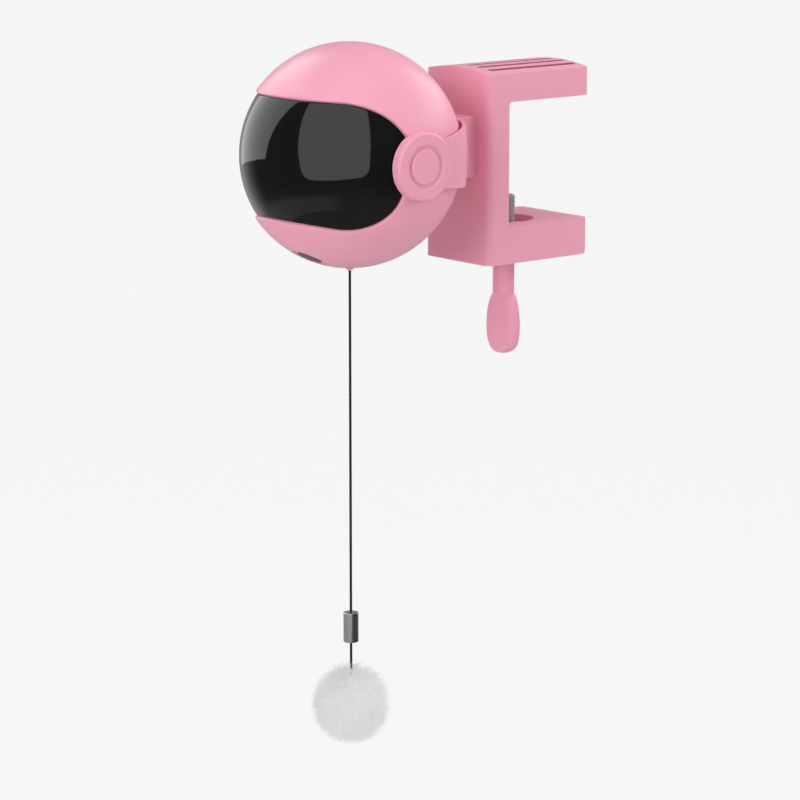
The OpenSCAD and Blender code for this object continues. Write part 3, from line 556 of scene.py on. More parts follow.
def makeInnerString():
    low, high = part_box("string_run")
    route = straight(high.z / mm, low.z / mm, innerString["step"])
    run = tubeAlong("string_run_inside", route, innerString["diameter"], innerString["sides"])
    settle(run, "head", "black_string", blackFibre, "string_run")
    (y, z), radius, route = wound["at"], wound["radius"], []
    for i in range(wound["loops"] * wound["points"] + 1):
        loop = i / wound["points"] - wound["loops"]
        turn = 2 * math.pi * loop
        route.append((wound["pitch"] * loop, y + radius * math.cos(turn), z + radius * math.sin(turn)))
    winding = tubeAlong("string_on_spool", route, wound["diameter"], innerString["sides"])
    settle(winding, "spool", "black_string", blackFibre, "string_winding")


makeInnerString()
print("string made")


# ball: shells and visor from one globe whose rings are drawn to the edge of the opening
ball = {"radius": 40, "wall": 2, "around": 192, "rings": 96, "edgeRing": 36, "lip": 0.8, "lipSteps": 5,
        "seam": 0.05, "pivotHole": 3.06, "visorRadius": 39, "visorWall": 1.6, "visorGap": 0.15,
        "visorEdge": 0.25, "visorSteps": 3}
opening = {"browR": 22.6, "browAt": (-25.1, -0.1), "browRise": 4.5, "jawR": 15, "jawAt": (-21.3, -7.6),
           "chinRise": 11.4, "seatR": 10, "nearest": 0.05, "shy": 0.3, "halvings": 40}
inside, holeEnd, outside = 30, 45, 50  # how far from the middle of the ball its cutters reach


def pastCorner(y, z, at, radius, sweep):
    # distance past a round corner whose arc runs from the side through sweep and on as a straight edge
    across, up = y - at[0], z - at[1]
    around = math.atan2(up, across) * math.copysign(1, sweep)
    if around < 0:
        return -1
    if around < abs(sweep):
        return math.hypot(across, up) - radius
    return across * math.cos(sweep) + up * math.sin(sweep) - radius


def insideOpening(y, z):
    # side view of the opening, in mm from the pivot
    o = opening
    if math.hypot(y, z) < o["seatR"] or y > 0:
        return False
    return (pastCorner(y, z, o["browAt"], o["browR"], math.radians(90 - o["browRise"])) < 0
            and pastCorner(y, z, o["jawAt"], o["jawR"], -math.radians(90 + o["chinRise"])) < 0)


def openingAngle(turn):
    # angle from the front pole at which the globe leaves the opening
    low, high = opening["nearest"], math.pi - opening["shy"]
    for _ in range(opening["halvings"]):
        middle = (low + high) / 2
        ring = ball["radius"] * math.sin(middle)
        if insideOpening(-ball["radius"] * math.cos(middle), ring * math.sin(turn)):
            low = middle
        else:
            high = middle
    return low


edgeAngles = [openingAngle(2 * math.pi * j / ball["around"]) for j in range(ball["around"])]


def edgeAt(turn, radius, gap):
    return edgeAngles[round(turn / (2 * math.pi) * ball["around"]) % ball["around"]] - gap / radius


def polar(co):
    ray = co - headAt
    lean = math.acos(max(-1, min(1, -ray.y / ray.length)))
    return lean, math.atan2(ray.z, ray.x), ray.length


def drawRings(obj, radius, gap):
    # slides each ring along its meridians, so that one ring lies on the edge; returns each vertex's ring
    rings, kept = [], math.pi * ball["edgeRing"] / ball["rings"]
    for v in obj.data.vertices:
        lean, turn, _ = polar(v.co)
        edge = edgeAt(turn, radius, gap)
        rings.append(round(lean / math.pi * ball["rings"]))
        if lean <= kept:
            lean *= edge / kept
        else:
            lean = edge + (lean - kept) * (math.pi - edge) / (math.pi - kept)
        out = math.sin(lean)
        v.co = headAt + Vector((out * math.cos(turn), -math.cos(lean), out * math.sin(turn))) * radius * mm
    return rings


def bothOnEdge(radius, gap):
    def onEdge(co):
        lean, turn, length = polar(co)
        return abs(lean - edgeAt(turn, radius, gap)) < 1e-3 and abs(length - radius * mm) < 1e-5

    return lambda a, b: onEdge(a) and onEdge(b)


def cutGlobe(name, radius, wall, gap, keepFront):
    obj = globe(name, radius)
    rings, edge = drawRings(obj, radius, gap), ball["edgeRing"]
    choose(obj, "VERT", lambda v: rings[v.index] > edge if keepFront else rings[v.index] < edge)
    bpy.ops.mesh.delete(type="VERT")
    done()
    return modify(obj, "SOLIDIFY", thickness=wall * mm, offset=-1)


def makeCasing():
    casing = cutGlobe("casing", ball["radius"], ball["wall"], 0, False)
    bevelEdges(casing, bothOnEdge(ball["radius"], 0), ball["lip"], ball["lipSteps"])
    ends = headPoint(-outside, 0, 0), headPoint(outside, 0, 0)
    return carve(casing, rod("pivot_hole", ball["pivotHole"], *ends))


def halve(obj, name, upper):
    pick(obj)
    bpy.ops.object.duplicate()
    half = bpy.context.object
    half.name = half.data.name = name
    openAll(half)
    shift = ball["seam"] * (1 if upper else -1)
    bpy.ops.mesh.bisect(plane_co=headAt + Vector((0, 0, shift * mm)), plane_no=(0, 0, 1), use_fill=True,
                        clear_inner=upper, clear_outer=not upper)
    done()
    return half


# battery door, in a frame whose z points out through it
door = {"lean": 127, "halfX": 24.45, "halfY": 12.45, "corner": 4, "cornerSteps": 8, "low": 20, "high": 60,
        "tabAt": 17.185, "tabR": 3.6, "gap": 0.15, "clear": 0.1, "grips": 4, "gripPitch": 2, "gripWidth": 0.9,
        "gripDepth": 0.5, "gripHalf": 9, "gripAt": -7, "screwArc": 39, "screwSeat": 39.2, "screwSink": 2.1,
        "screwWay": 1.2}
bayFrame = Matrix.Translation(headAt) @ Matrix.Rotation(math.radians(-door["lean"]), 4, "X")


def doorPrism(name, gap):
    low, high, end = door["low"], door["high"], door["tabAt"]
    halfX, halfY, tab = door["halfX"] - gap, door["halfY"] - gap, door["tabR"] - gap
    prism = box(name, (-halfX, -halfY, low), (halfX, halfY, high))
    bevelEdges(prism, runsAlong(2), door["corner"], door["cornerSteps"])
    # each a little longer, so that no end faces lie in one plane
    carve(prism, box("tab", (-tab, 0, low - 1), (tab, end, high + 1)),
          rod("tab_end", tab, (0, end, low - 2), (0, end, high + 2)), how="UNION")
    prism.data.transform(bayFrame)
    return prism


# button and eyelet: (radius, height) outlines from the middle of the ball, and what they need in the shell
dish = {"lean": 27.5, "radius": 6.5, "floor": 38.9, "hole": 4.62, "sides": 64}
buttonLean = math.radians(dish["lean"])
buttonAxis = Vector((0, -math.sin(buttonLean), -math.cos(buttonLean)))
button = {"profile": [(0, 35.4), (5.4, 35.4), (5.4, 36.2), (4.5, 36.2), (4.5, 39.5), (3.2, 39.5), (0, 39.2)],
          "corners": [0, 0.2, 0.2, 0, 0.5, 1.5, 0], "sides": 64}
eyelet = {"profile": [(0.8, 36.9), (3.0, 36.9), (3.0, 37.5), (1.7, 37.7), (1.7, 39.8), (1.25, 41), (0.8, 41),
                      (0.8, 36.9)],
          "corners": [0, 0.2, 0.2, 0, 0, 0.2, 0.15, 0], "sides": 48, "hole": 1.72, "holeSides": 32}
# wells for the shell screws, in round bosses
well = {"pitch": 20, "aft": 32, "radius": 2.1, "seat": 8, "shank": 1.05, "shankLow": -2, "shankTop": 12,
        "boss": 3.2, "bossLow": 0.1, "bossTop": 23, "bossSink": 0.6}


def makeShells():
    casing = makeCasing()
    lower = halve(casing, "lower_casing", False)
    upper = halve(casing, "upper_casing", True)
    bpy.data.objects.remove(casing)
    floor, near, end, far = [outAt(buttonAxis, reach) for reach in (dish["floor"], inside, holeEnd, outside)]
    carve(lower, rod("dish", dish["radius"], floor, far, dish["sides"]),
          rod("button_hole", dish["hole"], near, end, dish["sides"]),
          rod("eyelet_hole", eyelet["hole"], headPoint(0, 0, -inside), headPoint(0, 0, -holeEnd),
              eyelet["holeSides"]),
          doorPrism("door_cut", 0))
    for side in (-1, 1):
        at = lambda z: headPoint(side * well["pitch"] / 2, well["aft"], z)
        boss = rod("boss", well["boss"], at(well["bossLow"]), at(well["bossTop"]))
        carve(boss, globe("inside", ball["radius"] - well["bossSink"], 2), how="INTERSECT")
        carve(upper, boss, how="UNION")
        carve(upper, rod("well", well["radius"], at(well["seat"]), at(ball["radius"])),
              rod("shank_hole", well["shank"], at(well["shankLow"]), at(well["shankTop"])))
    settle(smooth(upper), "head", "pink_plastic", pinkPlastic, "upper_shell")
    settle(smooth(lower), "head", "pink_plastic", pinkPlastic, "lower_shell")


makeShells()
print("shells made")


def makeVisor():
    radius, gap = ball["visorRadius"], ball["visorGap"]
    pane = cutGlobe("visor_pane", radius, ball["visorWall"], gap, True)
    bevelEdges(pane, bothOnEdge(radius, gap), ball["visorEdge"], ball["visorSteps"])
    settle(smooth(pane), "head", "black_gloss", visorFinish, "visor")


makeVisor()
print("visor made")


def makeDoor():
    skin = globe("battery_cover", ball["radius"])
    carve(skin, globe("hollow", ball["radius"] - ball["wall"] + door["clear"]))
    carve(skin, doorPrism("door_shape", door["gap"]), how="INTERSECT")
    half = door["gripWidth"] / 2
    for i in range(door["grips"]):
        y = door["gripAt"] + i * door["gripPitch"]
        grip = box("grip", (-door["gripHalf"], y - half, inside), (door["gripHalf"], y + half, door["high"]))
        grip.data.transform(bayFrame)
        carve(grip, globe("grip_floor", ball["radius"] - door["gripDepth"], 1.5))
        carve(skin, grip)
    lean = math.radians(-door["lean"]) - math.asin(door["tabAt"] / door["screwArc"])
    out = Matrix.Rotation(lean, 4, "X") @ Vector((0, 0, 1))
    far = outAt(out, outside)
    carve(skin, rod("screw_sink", door["screwSink"], outAt(out, door["screwSeat"]), far),
          rod("screw_way", door["screwWay"], outAt(out, inside), far))
    settle(smooth(skin), "head", "pink_plastic", pinkPlastic, "battery_door")
    return out


doorScrewAxis = makeDoor()
print("battery cover made")


# yoke: strap round the back, an ear disc on each pivot and the square neck
strap = {"inner": 40.4, "thick": 1.3, "earHalf": 8.7, "backHalf": 11.2, "bendFrom": 12, "bendTo": 33,
         "columns": 160, "rows": 12, "edge": 0.35, "edgeSteps": 3, "hug": 0.62}
ear = {"radius": 12, "root": 38, "face": 42.4, "edge": 1.0, "recess": 7.1, "flare": 0.7, "soft": 0.9,
       "floor": 41.6, "capR": 6.2, "capEdge": 0.65, "capCrown": 0.12, "pin": 4.9, "pinFrom": 39,
       "pinTo": 42.5, "sides": 96}
neck = {"half": 11, "from": 40.6, "to": -23.2, "edge": 0.8, "edgeSteps": 3, "screws": (-10, -22),
        "screwRoom": 1.55, "roomFrom": -31.4, "roomTo": -10, "roomSides": 24}


def strapHalf(y):
    share = max(0, min(1, (y - strap["bendFrom"]) / (strap["bendTo"] - strap["bendFrom"])))
    return strap["earHalf"] + (strap["backHalf"] - strap["earHalf"]) * share


def makeStrap():
    inner = strap["inner"]
    deselect()
    bpy.ops.mesh.primitive_grid_add(x_subdivisions=strap["columns"], y_subdivisions=strap["rows"], size=2)
    band = added("yoke_arm")
    for v in band.data.vertices:
        turn = math.pi / 2 * (1 - v.co.x)
        z = strapHalf(inner * math.sin(turn)) * v.co.y
        out = math.sqrt(inner ** 2 - (strap["hug"] * z) ** 2)
        v.co = headAt + Vector((out * math.cos(turn), out * math.sin(turn), z)) * mm
    openAll(band)
    bpy.ops.mesh.normals_make_consistent(inside=False)
    done()
    middle = band.data.polygons[len(band.data.polygons) // 2]
    outward = middle.normal.dot(middle.center - headAt) > 0
    modify(band, "SOLIDIFY", thickness=strap["thick"] * mm, offset=1 if outward else -1)
    high = (inner + strap["thick"]) * mm

    def onRim(co):
        ray = co - headAt
        limit = strapHalf(inner * ray.y / ray.length) / inner * ray.length
        return abs(ray.length - high) < 5e-5 and abs(abs(ray.z) - limit) < 4e-4

    bevelEdges(band, lambda a, b: onRim(a) and onRim(b) and (a.z - headAt.z) * (b.z - headAt.z) > 0,
               strap["edge"], strap["edgeSteps"])
    return band


def makeYoke():
    arm, half = makeStrap(), neck["half"]
    disc = rounded([(0, ear["root"]), (ear["radius"], ear["root"]), (ear["radius"], ear["face"]),
                    (ear["recess"] + ear["flare"], ear["face"]), (ear["recess"], ear["floor"]),
                    (0, ear["floor"])], [0, 0, ear["edge"], ear["soft"], 0, 0])
    for side in (-1, 1):
        carve(arm, lathe("ear_disc", disc, fromBall((side, 0, 0)), ear["sides"]), how="UNION")
    bar = box("neck", (-half, neck["from"] + pivot[1], pivot[2] - half), (half, neck["to"], pivot[2] + half))
    bevelEdges(bar, runsAlong(1), neck["edge"], neck["edgeSteps"])
    carve(arm, bar, how="UNION")
    carve(arm, globe("ball_room", strap["inner"]))
    for side in (-1, 1):
        start, end = [headPoint(side * ear[key], 0, 0) for key in ("pinFrom", "pinTo")]
        carve(arm, rod("pin_room", ear["pin"], start, end))
    for z in neck["screws"]:
        start, end = (0, neck["roomFrom"], z), (0, neck["roomTo"], z)
        carve(arm, rod("screw_room", neck["screwRoom"], start, end, neck["roomSides"]))
    settle(crisp(arm), "clamp", "pink_plastic", pinkPlastic, "yoke")
    cap = rounded([(0, ear["floor"]), (ear["capR"], ear["floor"]), (ear["capR"], ear["face"]),
                   (0, ear["face"] + ear["capCrown"])], [0, 0, ear["capEdge"], 0])
    caps = [lathe("ear_cap", cap, fromBall((side, 0, 0)), ear["sides"]) for side in (-1, 1)]
    settle(crisp(join("ear_cap_pair", caps)), "clamp", "pink_plastic", pinkPlastic, "ear_caps")


makeYoke()
print("yoke made")


# clamp body; wide and past are how far its cutters reach beyond it
clampBody = {"half": 18, "front": -23.2, "end": 25, "top": 12.2, "crownR": 82, "crownSides": 420,
             "web": -13.5, "lowerTop": -45.3, "bottom": -59, "frontEdge": 3, "crownEdge": 1.8, "endEdge": 1.2,
             "innerCorner": 1.5, "foot": 1.5, "edge": 0.6, "edgeAngle": 32, "wide": 30, "past": 5,
             "grooves": 5, "groovePitch": 6, "grooveHalf": 1.35, "grooveEnd": 0.98, "grooveDepth": 1.1,
             "grooveFrom": -18.7, "grooveTo": 23.5, "recess": 11, "recessFloor": -47.8, "nutFlats": 13.04,
             "nutFloor": -54.3, "nutTop": -47, "bore": 4.06, "screwHole": 1.7, "screwSink": 3.05,
             "screwSeat": -16.5, "screwFrom": -25, "screwTo": -10,
             # the dust colour is painted shade for the groove walls
             "dust": (0.39, 0.125, 0.19), "shadeBelow": 0.15, "shadePast": 0.05, "shadeLow": 4}


def paintedGrooveShade(tree):
    # painted shade in the grooves, below the crowned top
    c = clampBody
    x = Wire.node(tree, "ShaderNodeSeparateXYZ", inputs={"Vector": objectCoords(tree)}, out="X")
    y, z = [Wire(tree, x.socket.node.outputs[axis]) for axis in ("Y", "Z")]
    deep = (c["top"] - c["shadeBelow"]) * mm - x * x * (0.5 / (c["crownR"] * mm)) - z
    reach = ((c["grooves"] - 1) / 2 * c["groovePitch"] + 2 * c["grooveHalf"]) * mm
    lengthways = (y > c["grooveFrom"] * mm) * (y < (c["grooveTo"] + c["shadePast"]) * mm)
    return (x * x < reach * reach) * lengthways * (deep > 0) * (z > (c["top"] - c["shadeLow"]) * mm)


def makeClamp():
    c = clampBody
    wide, axis, upright = c["wide"], c["top"] - c["crownR"], runsAlong(2)
    front, end = c["front"] - c["past"], c["end"] + c["past"]
    # pink plastic with painted shade darkening the top grooves
    clampPlastic = mouldedPlastic("clamp_plastic", {**pinkLook, "shadeMask": paintedGrooveShade, "dust": c["dust"]})
    body = box("clamp_body", (-c["half"], c["front"], c["bottom"]), (c["half"], c["end"], c["top"]))
    bevelEdges(body, lambda a, b: upright(a, b) and a.y < 0, c["frontEdge"], 10)
    bevelEdges(body, lambda a, b: upright(a, b) and abs(a.y - c["end"] * mm) < 1e-6, c["endEdge"], 4)
    crown = rod("crown", c["crownR"], (0, front, axis), (0, end, axis), c["crownSides"])
    carve(body, crown, how="INTERSECT")

    def onFrontRim(co):
        onCrown = abs(math.hypot(co.x, co.z - axis * mm) - c["crownR"] * mm) < 5e-5
        return co.z > 0 and onCrown and co.y < (c["front"] + c["frontEdge"] + 0.05) * mm

    bevelEdges(body, lambda a, b: onFrontRim(a) and onFrontRim(b), c["crownEdge"], 6)
    gap = box("jaw_gap", (-wide, c["web"], c["lowerTop"]), (wide, end, 0))
    atWeb = lambda co: abs(co.y - c["web"] * mm) < 1e-6
    bevelEdges(gap, lambda a, b: atWeb(a) and atWeb(b) and abs(a.x - b.x) > 1e-3, c["innerCorner"], 4)
    carve(body, gap)
    reach, corner = 2 * c["foot"], Vector((0, c["end"] - c["foot"], c["bottom"])) * mm
    foot = box("foot", (-wide, c["end"] - reach, c["bottom"] - reach), (wide, c["end"] + reach, c["bottom"]))
    foot.data.transform(Matrix.Translation(corner) @ Matrix.Rotation(math.radians(45), 4, "X")
                        @ Matrix.Translation(-corner))
    carve(body, foot)
    roundOver(body, c["edge"], 3, c["edgeAngle"])
    for i in range(c["grooves"]):
        x, half = (i - (c["grooves"] - 1) / 2) * c["groovePitch"], c["grooveHalf"]
        floor, roof = axis + math.sqrt(c["crownR"] ** 2 - x * x) - c["grooveDepth"], c["top"] + c["past"]
        groove = box("groove", (x - half, c["grooveFrom"], floor), (x + half, c["grooveTo"], roof))
        bevelEdges(groove, upright, half * c["grooveEnd"], 4)
        carve(body, groove)
    carve(body, rod("recess", c["recess"], (0, 0, c["recessFloor"]), (0, 0, c["lowerTop"] + c["past"]), 96),
          rod("nut_pocket", c["nutFlats"] / math.sqrt(3), (0, 0, c["nutFloor"]), (0, 0, c["nutTop"]), 6),
          rod("bore", c["bore"], (0, 0, c["bottom"] - c["past"]), (0, 0, c["nutTop"]), 64))
    for z in neck["screws"]:
        end = (0, c["screwTo"], z)
        carve(body, rod("screw_hole", c["screwHole"], (0, c["screwFrom"], z), end, 32),
              rod("screw_sink", c["screwSink"], (0, c["screwSeat"], z), end, 48))
    settle(crisp(body, c["edgeAngle"]), "clamp", "pink_plastic", clampPlastic, "clamp_frame")


makeClamp()
print("clamp made")


# clamp screw: threaded rod above, smooth stem and a spoon handle below
spindle = {"radius": 4, "top": -46.5, "threadEnd": -58.5, "core": 3.35, "pitch": 2.5, "stemEnd": -73.6,
           "end": -96, "width": 6.9, "thick": 2.7, "belly": 0.48, "endPower": 2.6, "shoulderPower": 0.8,
           "flatShare": 0.8, "runOut": 8, "past": 20, "under": 2, "edge": 1.5, "edgeSteps": 6,
           "edgeAngle": 28, "spigot": 2.0, "spigotTop": -41.5, "overlap": 0.5, "sides": 96,
           "coreSides": 48, "levels": 40, "levelPower": 1.6, "bite": 0.15, "play": 0.03,
           "ridge": (0.85, 1.15, 2.0)}
spindleTip = {"profile": [(0, -46.3), (4, -46.3), (4, -45.2), (3.75, -45.0), (3.75, -44.4), (4, -44.2),
                          (4, -36.6), (2.4, -36.6), (2.1, -36.9), (0, -36.9)],
              "corners": [0, 0.3, 0, 0, 0, 0, 0.6, 0.15, 0.1, 0], "sides": 64}


def handleRadius(z):
    # at a height over the lower end: a full end, then round shoulders at the stem
    s = spindle
    length = s["stemEnd"] - s["end"]
    belly = length * s["belly"]
    if z < belly:
        return s["width"] * (1 - (1 - z / belly) ** s["endPower"]) ** (1 / s["endPower"])
    below = (length - z) / (length - belly)
    return s["radius"] + (s["width"] - s["radius"]) * math.sin(math.pi / 2 * below ** s["shoulderPower"])


def makeStem():
    s, past = spindle, spindle["past"]
    length = s["stemEnd"] - s["end"]
    outline = [(0, s["end"])]
    for i in range(1, s["levels"] + 1):
        z = length * (i / s["levels"]) ** s["levelPower"]
        outline.append((handleRadius(z), s["end"] + z))
    outline += [(s["radius"], s["threadEnd"]), (0, s["threadEnd"])]
    stem = lathe("clamp_spindle", outline, Matrix.Identity(4), s["sides"])
    top = s["end"] + length * s["flatShare"]
    for face in (-1, 1):
        near, far, middle = face * s["thick"], face * past, face * (s["thick"] + s["runOut"])
        carve(stem, box("flat", (-past, min(near, far), s["end"] - s["under"]), (past, max(near, far), top)),
              rod("run_out", s["runOut"], (-past, middle, top), (past, middle, top), s["sides"]))
    return roundOver(stem, s["edge"], s["edgeSteps"], s["edgeAngle"])


def makeThread():
    s = spindle
    bite, crest = s["core"] - s["bite"], s["radius"] - s["play"]
    rise, fall, end = s["ridge"]
    ridge = [(bite, 0, 0), (crest, 0, rise), (crest, 0, fall), (bite, 0, end)]
    thread = meshPiece("thread", [Vector(p) * mm for p in ridge], [(0, 1), (1, 2), (2, 3), (3, 0)], [])
    turns = int((s["top"] - s["threadEnd"] - end) / s["pitch"])
    modify(thread, "SCREW", angle=2 * math.pi, screw_offset=s["pitch"] * mm, iterations=turns,
           steps=s["coreSides"], render_steps=s["coreSides"], use_merge_vertices=True, merge_threshold=1e-6)
    thread.data.transform(Matrix.Translation(Vector((0, 0, s["threadEnd"] * mm))))
    openAll(thread)
    bpy.ops.mesh.fill_holes(sides=6)
    bpy.ops.mesh.select_all(action="SELECT")
    bpy.ops.mesh.normals_make_consistent(inside=False)
    done()
    return thread


def makeSpindle():
    s, still = spindle, Matrix.Identity(4)
    stem, low = makeStem(), s["threadEnd"] - s["overlap"]
    core = lathe("core", [(0, low), (s["core"], low), (s["core"], s["top"]), (s["spigot"], s["top"]),
                          (s["spigot"], s["spigotTop"]), (0, s["spigotTop"])], still, s["coreSides"])
    whole = join("clamp_spindle", [stem, core, makeThread()])
    settle(crisp(whole, 40), "screw", "pink_plastic", pinkPlastic, "clamp_screw")
    settle(turned("spindle_tip", spindleTip, still), "tip", "grey_plastic", tipGrey, "screw_tip")


makeSpindle()
print("clamp screw made")


# cross-head screws: one model in shares of the head, three sizes, each copy in its own mesh
crossHead = {"point": 0.6, "crown": 0.05, "under": 0.12, "edge": 0.35, "arm": 0.55, "slot": 0.11,
             "deep": 0.55, "past": 2, "sides": 32}
screwSizes = {"neck": {"headR": 2.85, "headT": 2.4, "shankR": 1.5, "length": 14.7},
              "shell": {"headR": 1.9, "headT": 1.2, "shankR": 1.0, "length": 12.5},
              "cover": {"headR": 1.9, "headT": 0.6, "shankR": 1.0, "length": 4.6}}


def crossScrew(kind, at, direction):
    # at is the seat of the head in mm, direction points out of it
    h = crossHead
    headR, headT, shankR, length = [screwSizes[kind][key] for key in ("headR", "headT", "shankR", "length")]
    profile = rounded([(0, -length), (shankR * h["point"], -length), (shankR, -length + shankR), (shankR, 0),
                       (headR, 0), (headR, headT), (0, headT + h["crown"] * headR)],
                      [0, 0, 0, 0, h["under"] * headR, h["edge"] * headT, 0])
    screw = lathe("screw", profile, Matrix.Identity(4), h["sides"])
    arm, half, low, high = headR * h["arm"], headR * h["slot"], headT - headT * h["deep"], headT + h["past"]
    for x, y in ((arm, half), (half, arm)):
        carve(screw, box("slot", (-x, -y, low), (x, y, high)))
    screw.data.transform(along(direction, at))
    return screw


def makeScrews():
    neckScrews = [crossScrew("neck", (0, clampBody["screwSeat"], z), (0, 1, 0)) for z in neck["screws"]]
    settle(crisp(join("neck_screw_pair", neckScrews)), "clamp", "steel", platedSteel, "neck_screws")
    seats = [headPoint(side * well["pitch"] / 2, well["aft"], well["seat"]) for side in (-1, 1)]
    shellScrews = [crossScrew("shell", seat, (0, 0, 1)) for seat in seats]
    settle(crisp(join("shell_screw_pair", shellScrews)), "head", "steel", platedSteel, "shell_screws")
    coverScrew = crossScrew("cover", outAt(doorScrewAxis, door["screwSeat"]), doorScrewAxis)
    coverScrew.name = "cover_screw"
    settle(crisp(coverScrew), "head", "steel", platedSteel, "door_screw")


makeScrews()
print("screws made")

pressButton = turned("press_button", button, fromBall(buttonAxis))
settle(pressButton, "button", "button_grey", buttonGrey, "power_button")
eyeletCone = turned("string_eyelet_cone", eyelet, fromBall((0, 0, -1)))
settle(eyeletCone, "head", "pink_plastic", pinkPlastic, "string_eyelet")
print("button and eyelet made")


clasp = {"low": -194.5, "high": -183.5, "radius": 2.75, "edge": 0.22, "bore": 0.62, "boreEdge": 0.1,
         "sink": 0.8, "sides": 96}


def makeClasp():
    bore, radius, low, high = [clasp[key] for key in ("bore", "radius", "low", "high")]
    floor, roof = low + clasp["sink"], high - clasp["sink"]
    corners = [0, clasp["boreEdge"], clasp["edge"], clasp["edge"], clasp["boreEdge"], 0]
    outline = rounded([(bore, floor), (bore, low), (radius, low), (radius, high), (bore, high), (bore, roof)],
                      corners, 4)
    place = Matrix.Translation(Vector((pivot[0], pivot[1], 0)) * mm)
    sleeve = lathe("crimp_sleeve", [(0, floor)] + outline + [(0, roof)], place, clasp["sides"])
    return settle(crisp(sleeve, 40), "toy", "dark_metal", claspMetal, "string_clasp")


crimpSleeve = makeClasp()
print("clasp made")


# pom-pom: tufts of tapered fibres on a soft core
pom = {"at": (0, -73, -218.85), "core": 11.6, "root": 10.2, "reach": 15.8, "topReach": 2.2, "tufts": 420,
       "fibres": 19, "scatter": 0.05, "lean": 0.22, "tuftLeast": 0.93, "spread": 0.3, "fan": 0.28,
       "sag": -0.12, "fibreLeast": 0.82, "width": 0.1, "taper": 0.55, "rings": 4, "droop": 0.55, "seed": 11,
       "bumps": 160, "bumpLow": 0.93, "bumpRise": 0.09, "bumpNear": 0.93, "bumpSpan": 0.07}
tail = {"top": -195.05, "end": -208}


def unit(ray):
    return ray / np.linalg.norm(ray)


def addFibre(verts, faces, start, bend, reach, side):
    # three-sided, thinner towards its point
    centre, base, rings, root = np.array(pom["at"]), len(verts), pom["rings"], pom["root"]
    other = np.cross(start, side)
    for k in range(rings):
        share = k / rings
        line = unit(start + bend * share * share * pom["droop"])
        at = centre + line * (root + (reach - root) * share)
        width = pom["width"] * (1 - pom["taper"] * share)
        for c in range(3):
            a = 2 * math.pi * c / 3
            verts.append((at + width * (side * math.cos(a) + other * math.sin(a))) * mm)
        if k:
            low, high = base + (k - 1) * 3, base + k * 3
            faces += [(low + c, low + (c + 1) % 3, high + (c + 1) % 3, high + c) for c in range(3)]
    verts.append((centre + unit(start + bend * pom["droop"]) * reach) * mm)
    last = base + (rings - 1) * 3
    faces += [(last + c, last + (c + 1) % 3, len(verts) - 1) for c in range(3)]
    faces.append((base + 2, base + 1, base))


def makeFibres(rng):
    verts, faces = [], []
    golden = math.pi * (3 - math.sqrt(5))
    for t in range(pom["tufts"]):
        z = 1 - 2 * (t + 0.5) / pom["tufts"]
        ring = math.sqrt(1 - z * z)
        way = np.array([ring * math.cos(golden * t), ring * math.sin(golden * t), z])
        way += rng.normal(0, pom["scatter"], 3)
        lean = rng.normal(0, pom["lean"], 3)  # the tuft bends as one
        tuftReach = (pom["reach"] + pom["topReach"] * max(0, z) ** 2) * rng.uniform(pom["tuftLeast"], 1.0)
        for _ in range(pom["fibres"]):
            start = unit(way + rng.normal(0, pom["spread"] * pom["fan"], 3))
            bend = lean + rng.normal(0, pom["spread"], 3) + np.array([0, 0, pom["sag"]])
            reach = tuftReach * rng.uniform(pom["fibreLeast"], 1.0)
            addFibre(verts, faces, start, bend, reach, unit(np.cross(start, rng.normal(0, 1, 3))))
    return meshPiece("pom_fibres", verts, [], faces)


def makePom():
    rng = np.random.default_rng(pom["seed"])
    fibres, middle = makeFibres(rng), Vector(pom["at"]) * mm
    deselect()
    bpy.ops.mesh.primitive_ico_sphere_add(subdivisions=5, radius=pom["core"] * mm, location=middle)
    core = added("pom_core")
    bumps = rng.normal(0, 1, (pom["bumps"], 3))
    bumps /= np.linalg.norm(bumps, axis=1)[:, None]
    for v in core.data.vertices:
        near = float((bumps @ np.array((v.co - middle).normalized())).max())
        share = max(0, (near - pom["bumpNear"]) / pom["bumpSpan"])
        v.co = middle + (v.co - middle) * (pom["bumpLow"] + pom["bumpRise"] * share)
    fluff = join("fluffy_pom", [fibres, core])
    fluff.visible_shadow = False  # fine fibres let the light through
    return settle(smooth(fluff, 60), "pom", "white_fluff", whiteFluff, "pom_pom")


fluffyPom = makePom()
tailRoute = straight(tail["top"], tail["end"], stringLay["step"])
pomTail = tubeAlong("pom_tail_string", tailRoute, stringLay["diameter"], stringLay["sides"])
settle(pomTail, "pom", "black_string", blackFibre, "pom_tail")
print("pom-pom made")


# CAD pieces whose shape is kept get their finish
kept = {"clamp_nut": platedSteel, "pivot_pins": platedSteel, "battery_tray": darkPlastic,
        "battery_cells": cellFinish, "battery_contacts": platedSteel, "circuit_board": boardFinish,
        "tactile_switch": darkPlastic, "gearbox_frame": gearWhite, "gear_axles": platedSteel,
        "motor": platedSteel, "motor_pinion": pinionBrass, "idler_gear": gearWhite, "spool": gearWhite}
for nodeName, nodeFinish in kept.items():
    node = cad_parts[nodeName]
    node.data.materials.clear()
    node.data.materials.append(nodeFinish)
print("kept nodes finished")


# studio, in metres: pale floor far below, pale surround and a dark screen that only reflections see
studio = {"pale": 0.922, "ambient": 0.4, "floorZ": -0.75, "floorHalf": 30, "floorGlow": 0.976,
          "floorShare": 0.9, "floorDeep": (0.86, 0.86, 0.86), "floorPale": (0.9, 0.9, 0.9),
          "floorScale": 40, "floorRough": 0.9}
screen = {"radius": 3.4, "glow": 0.07, "lowGlow": 0.13, "backGlow": 0.22, "leftGlow": 0.4,
          "low": (0.3, 0.8), "back": (0.35, 0.9), "left": (0.1, 0.5)}
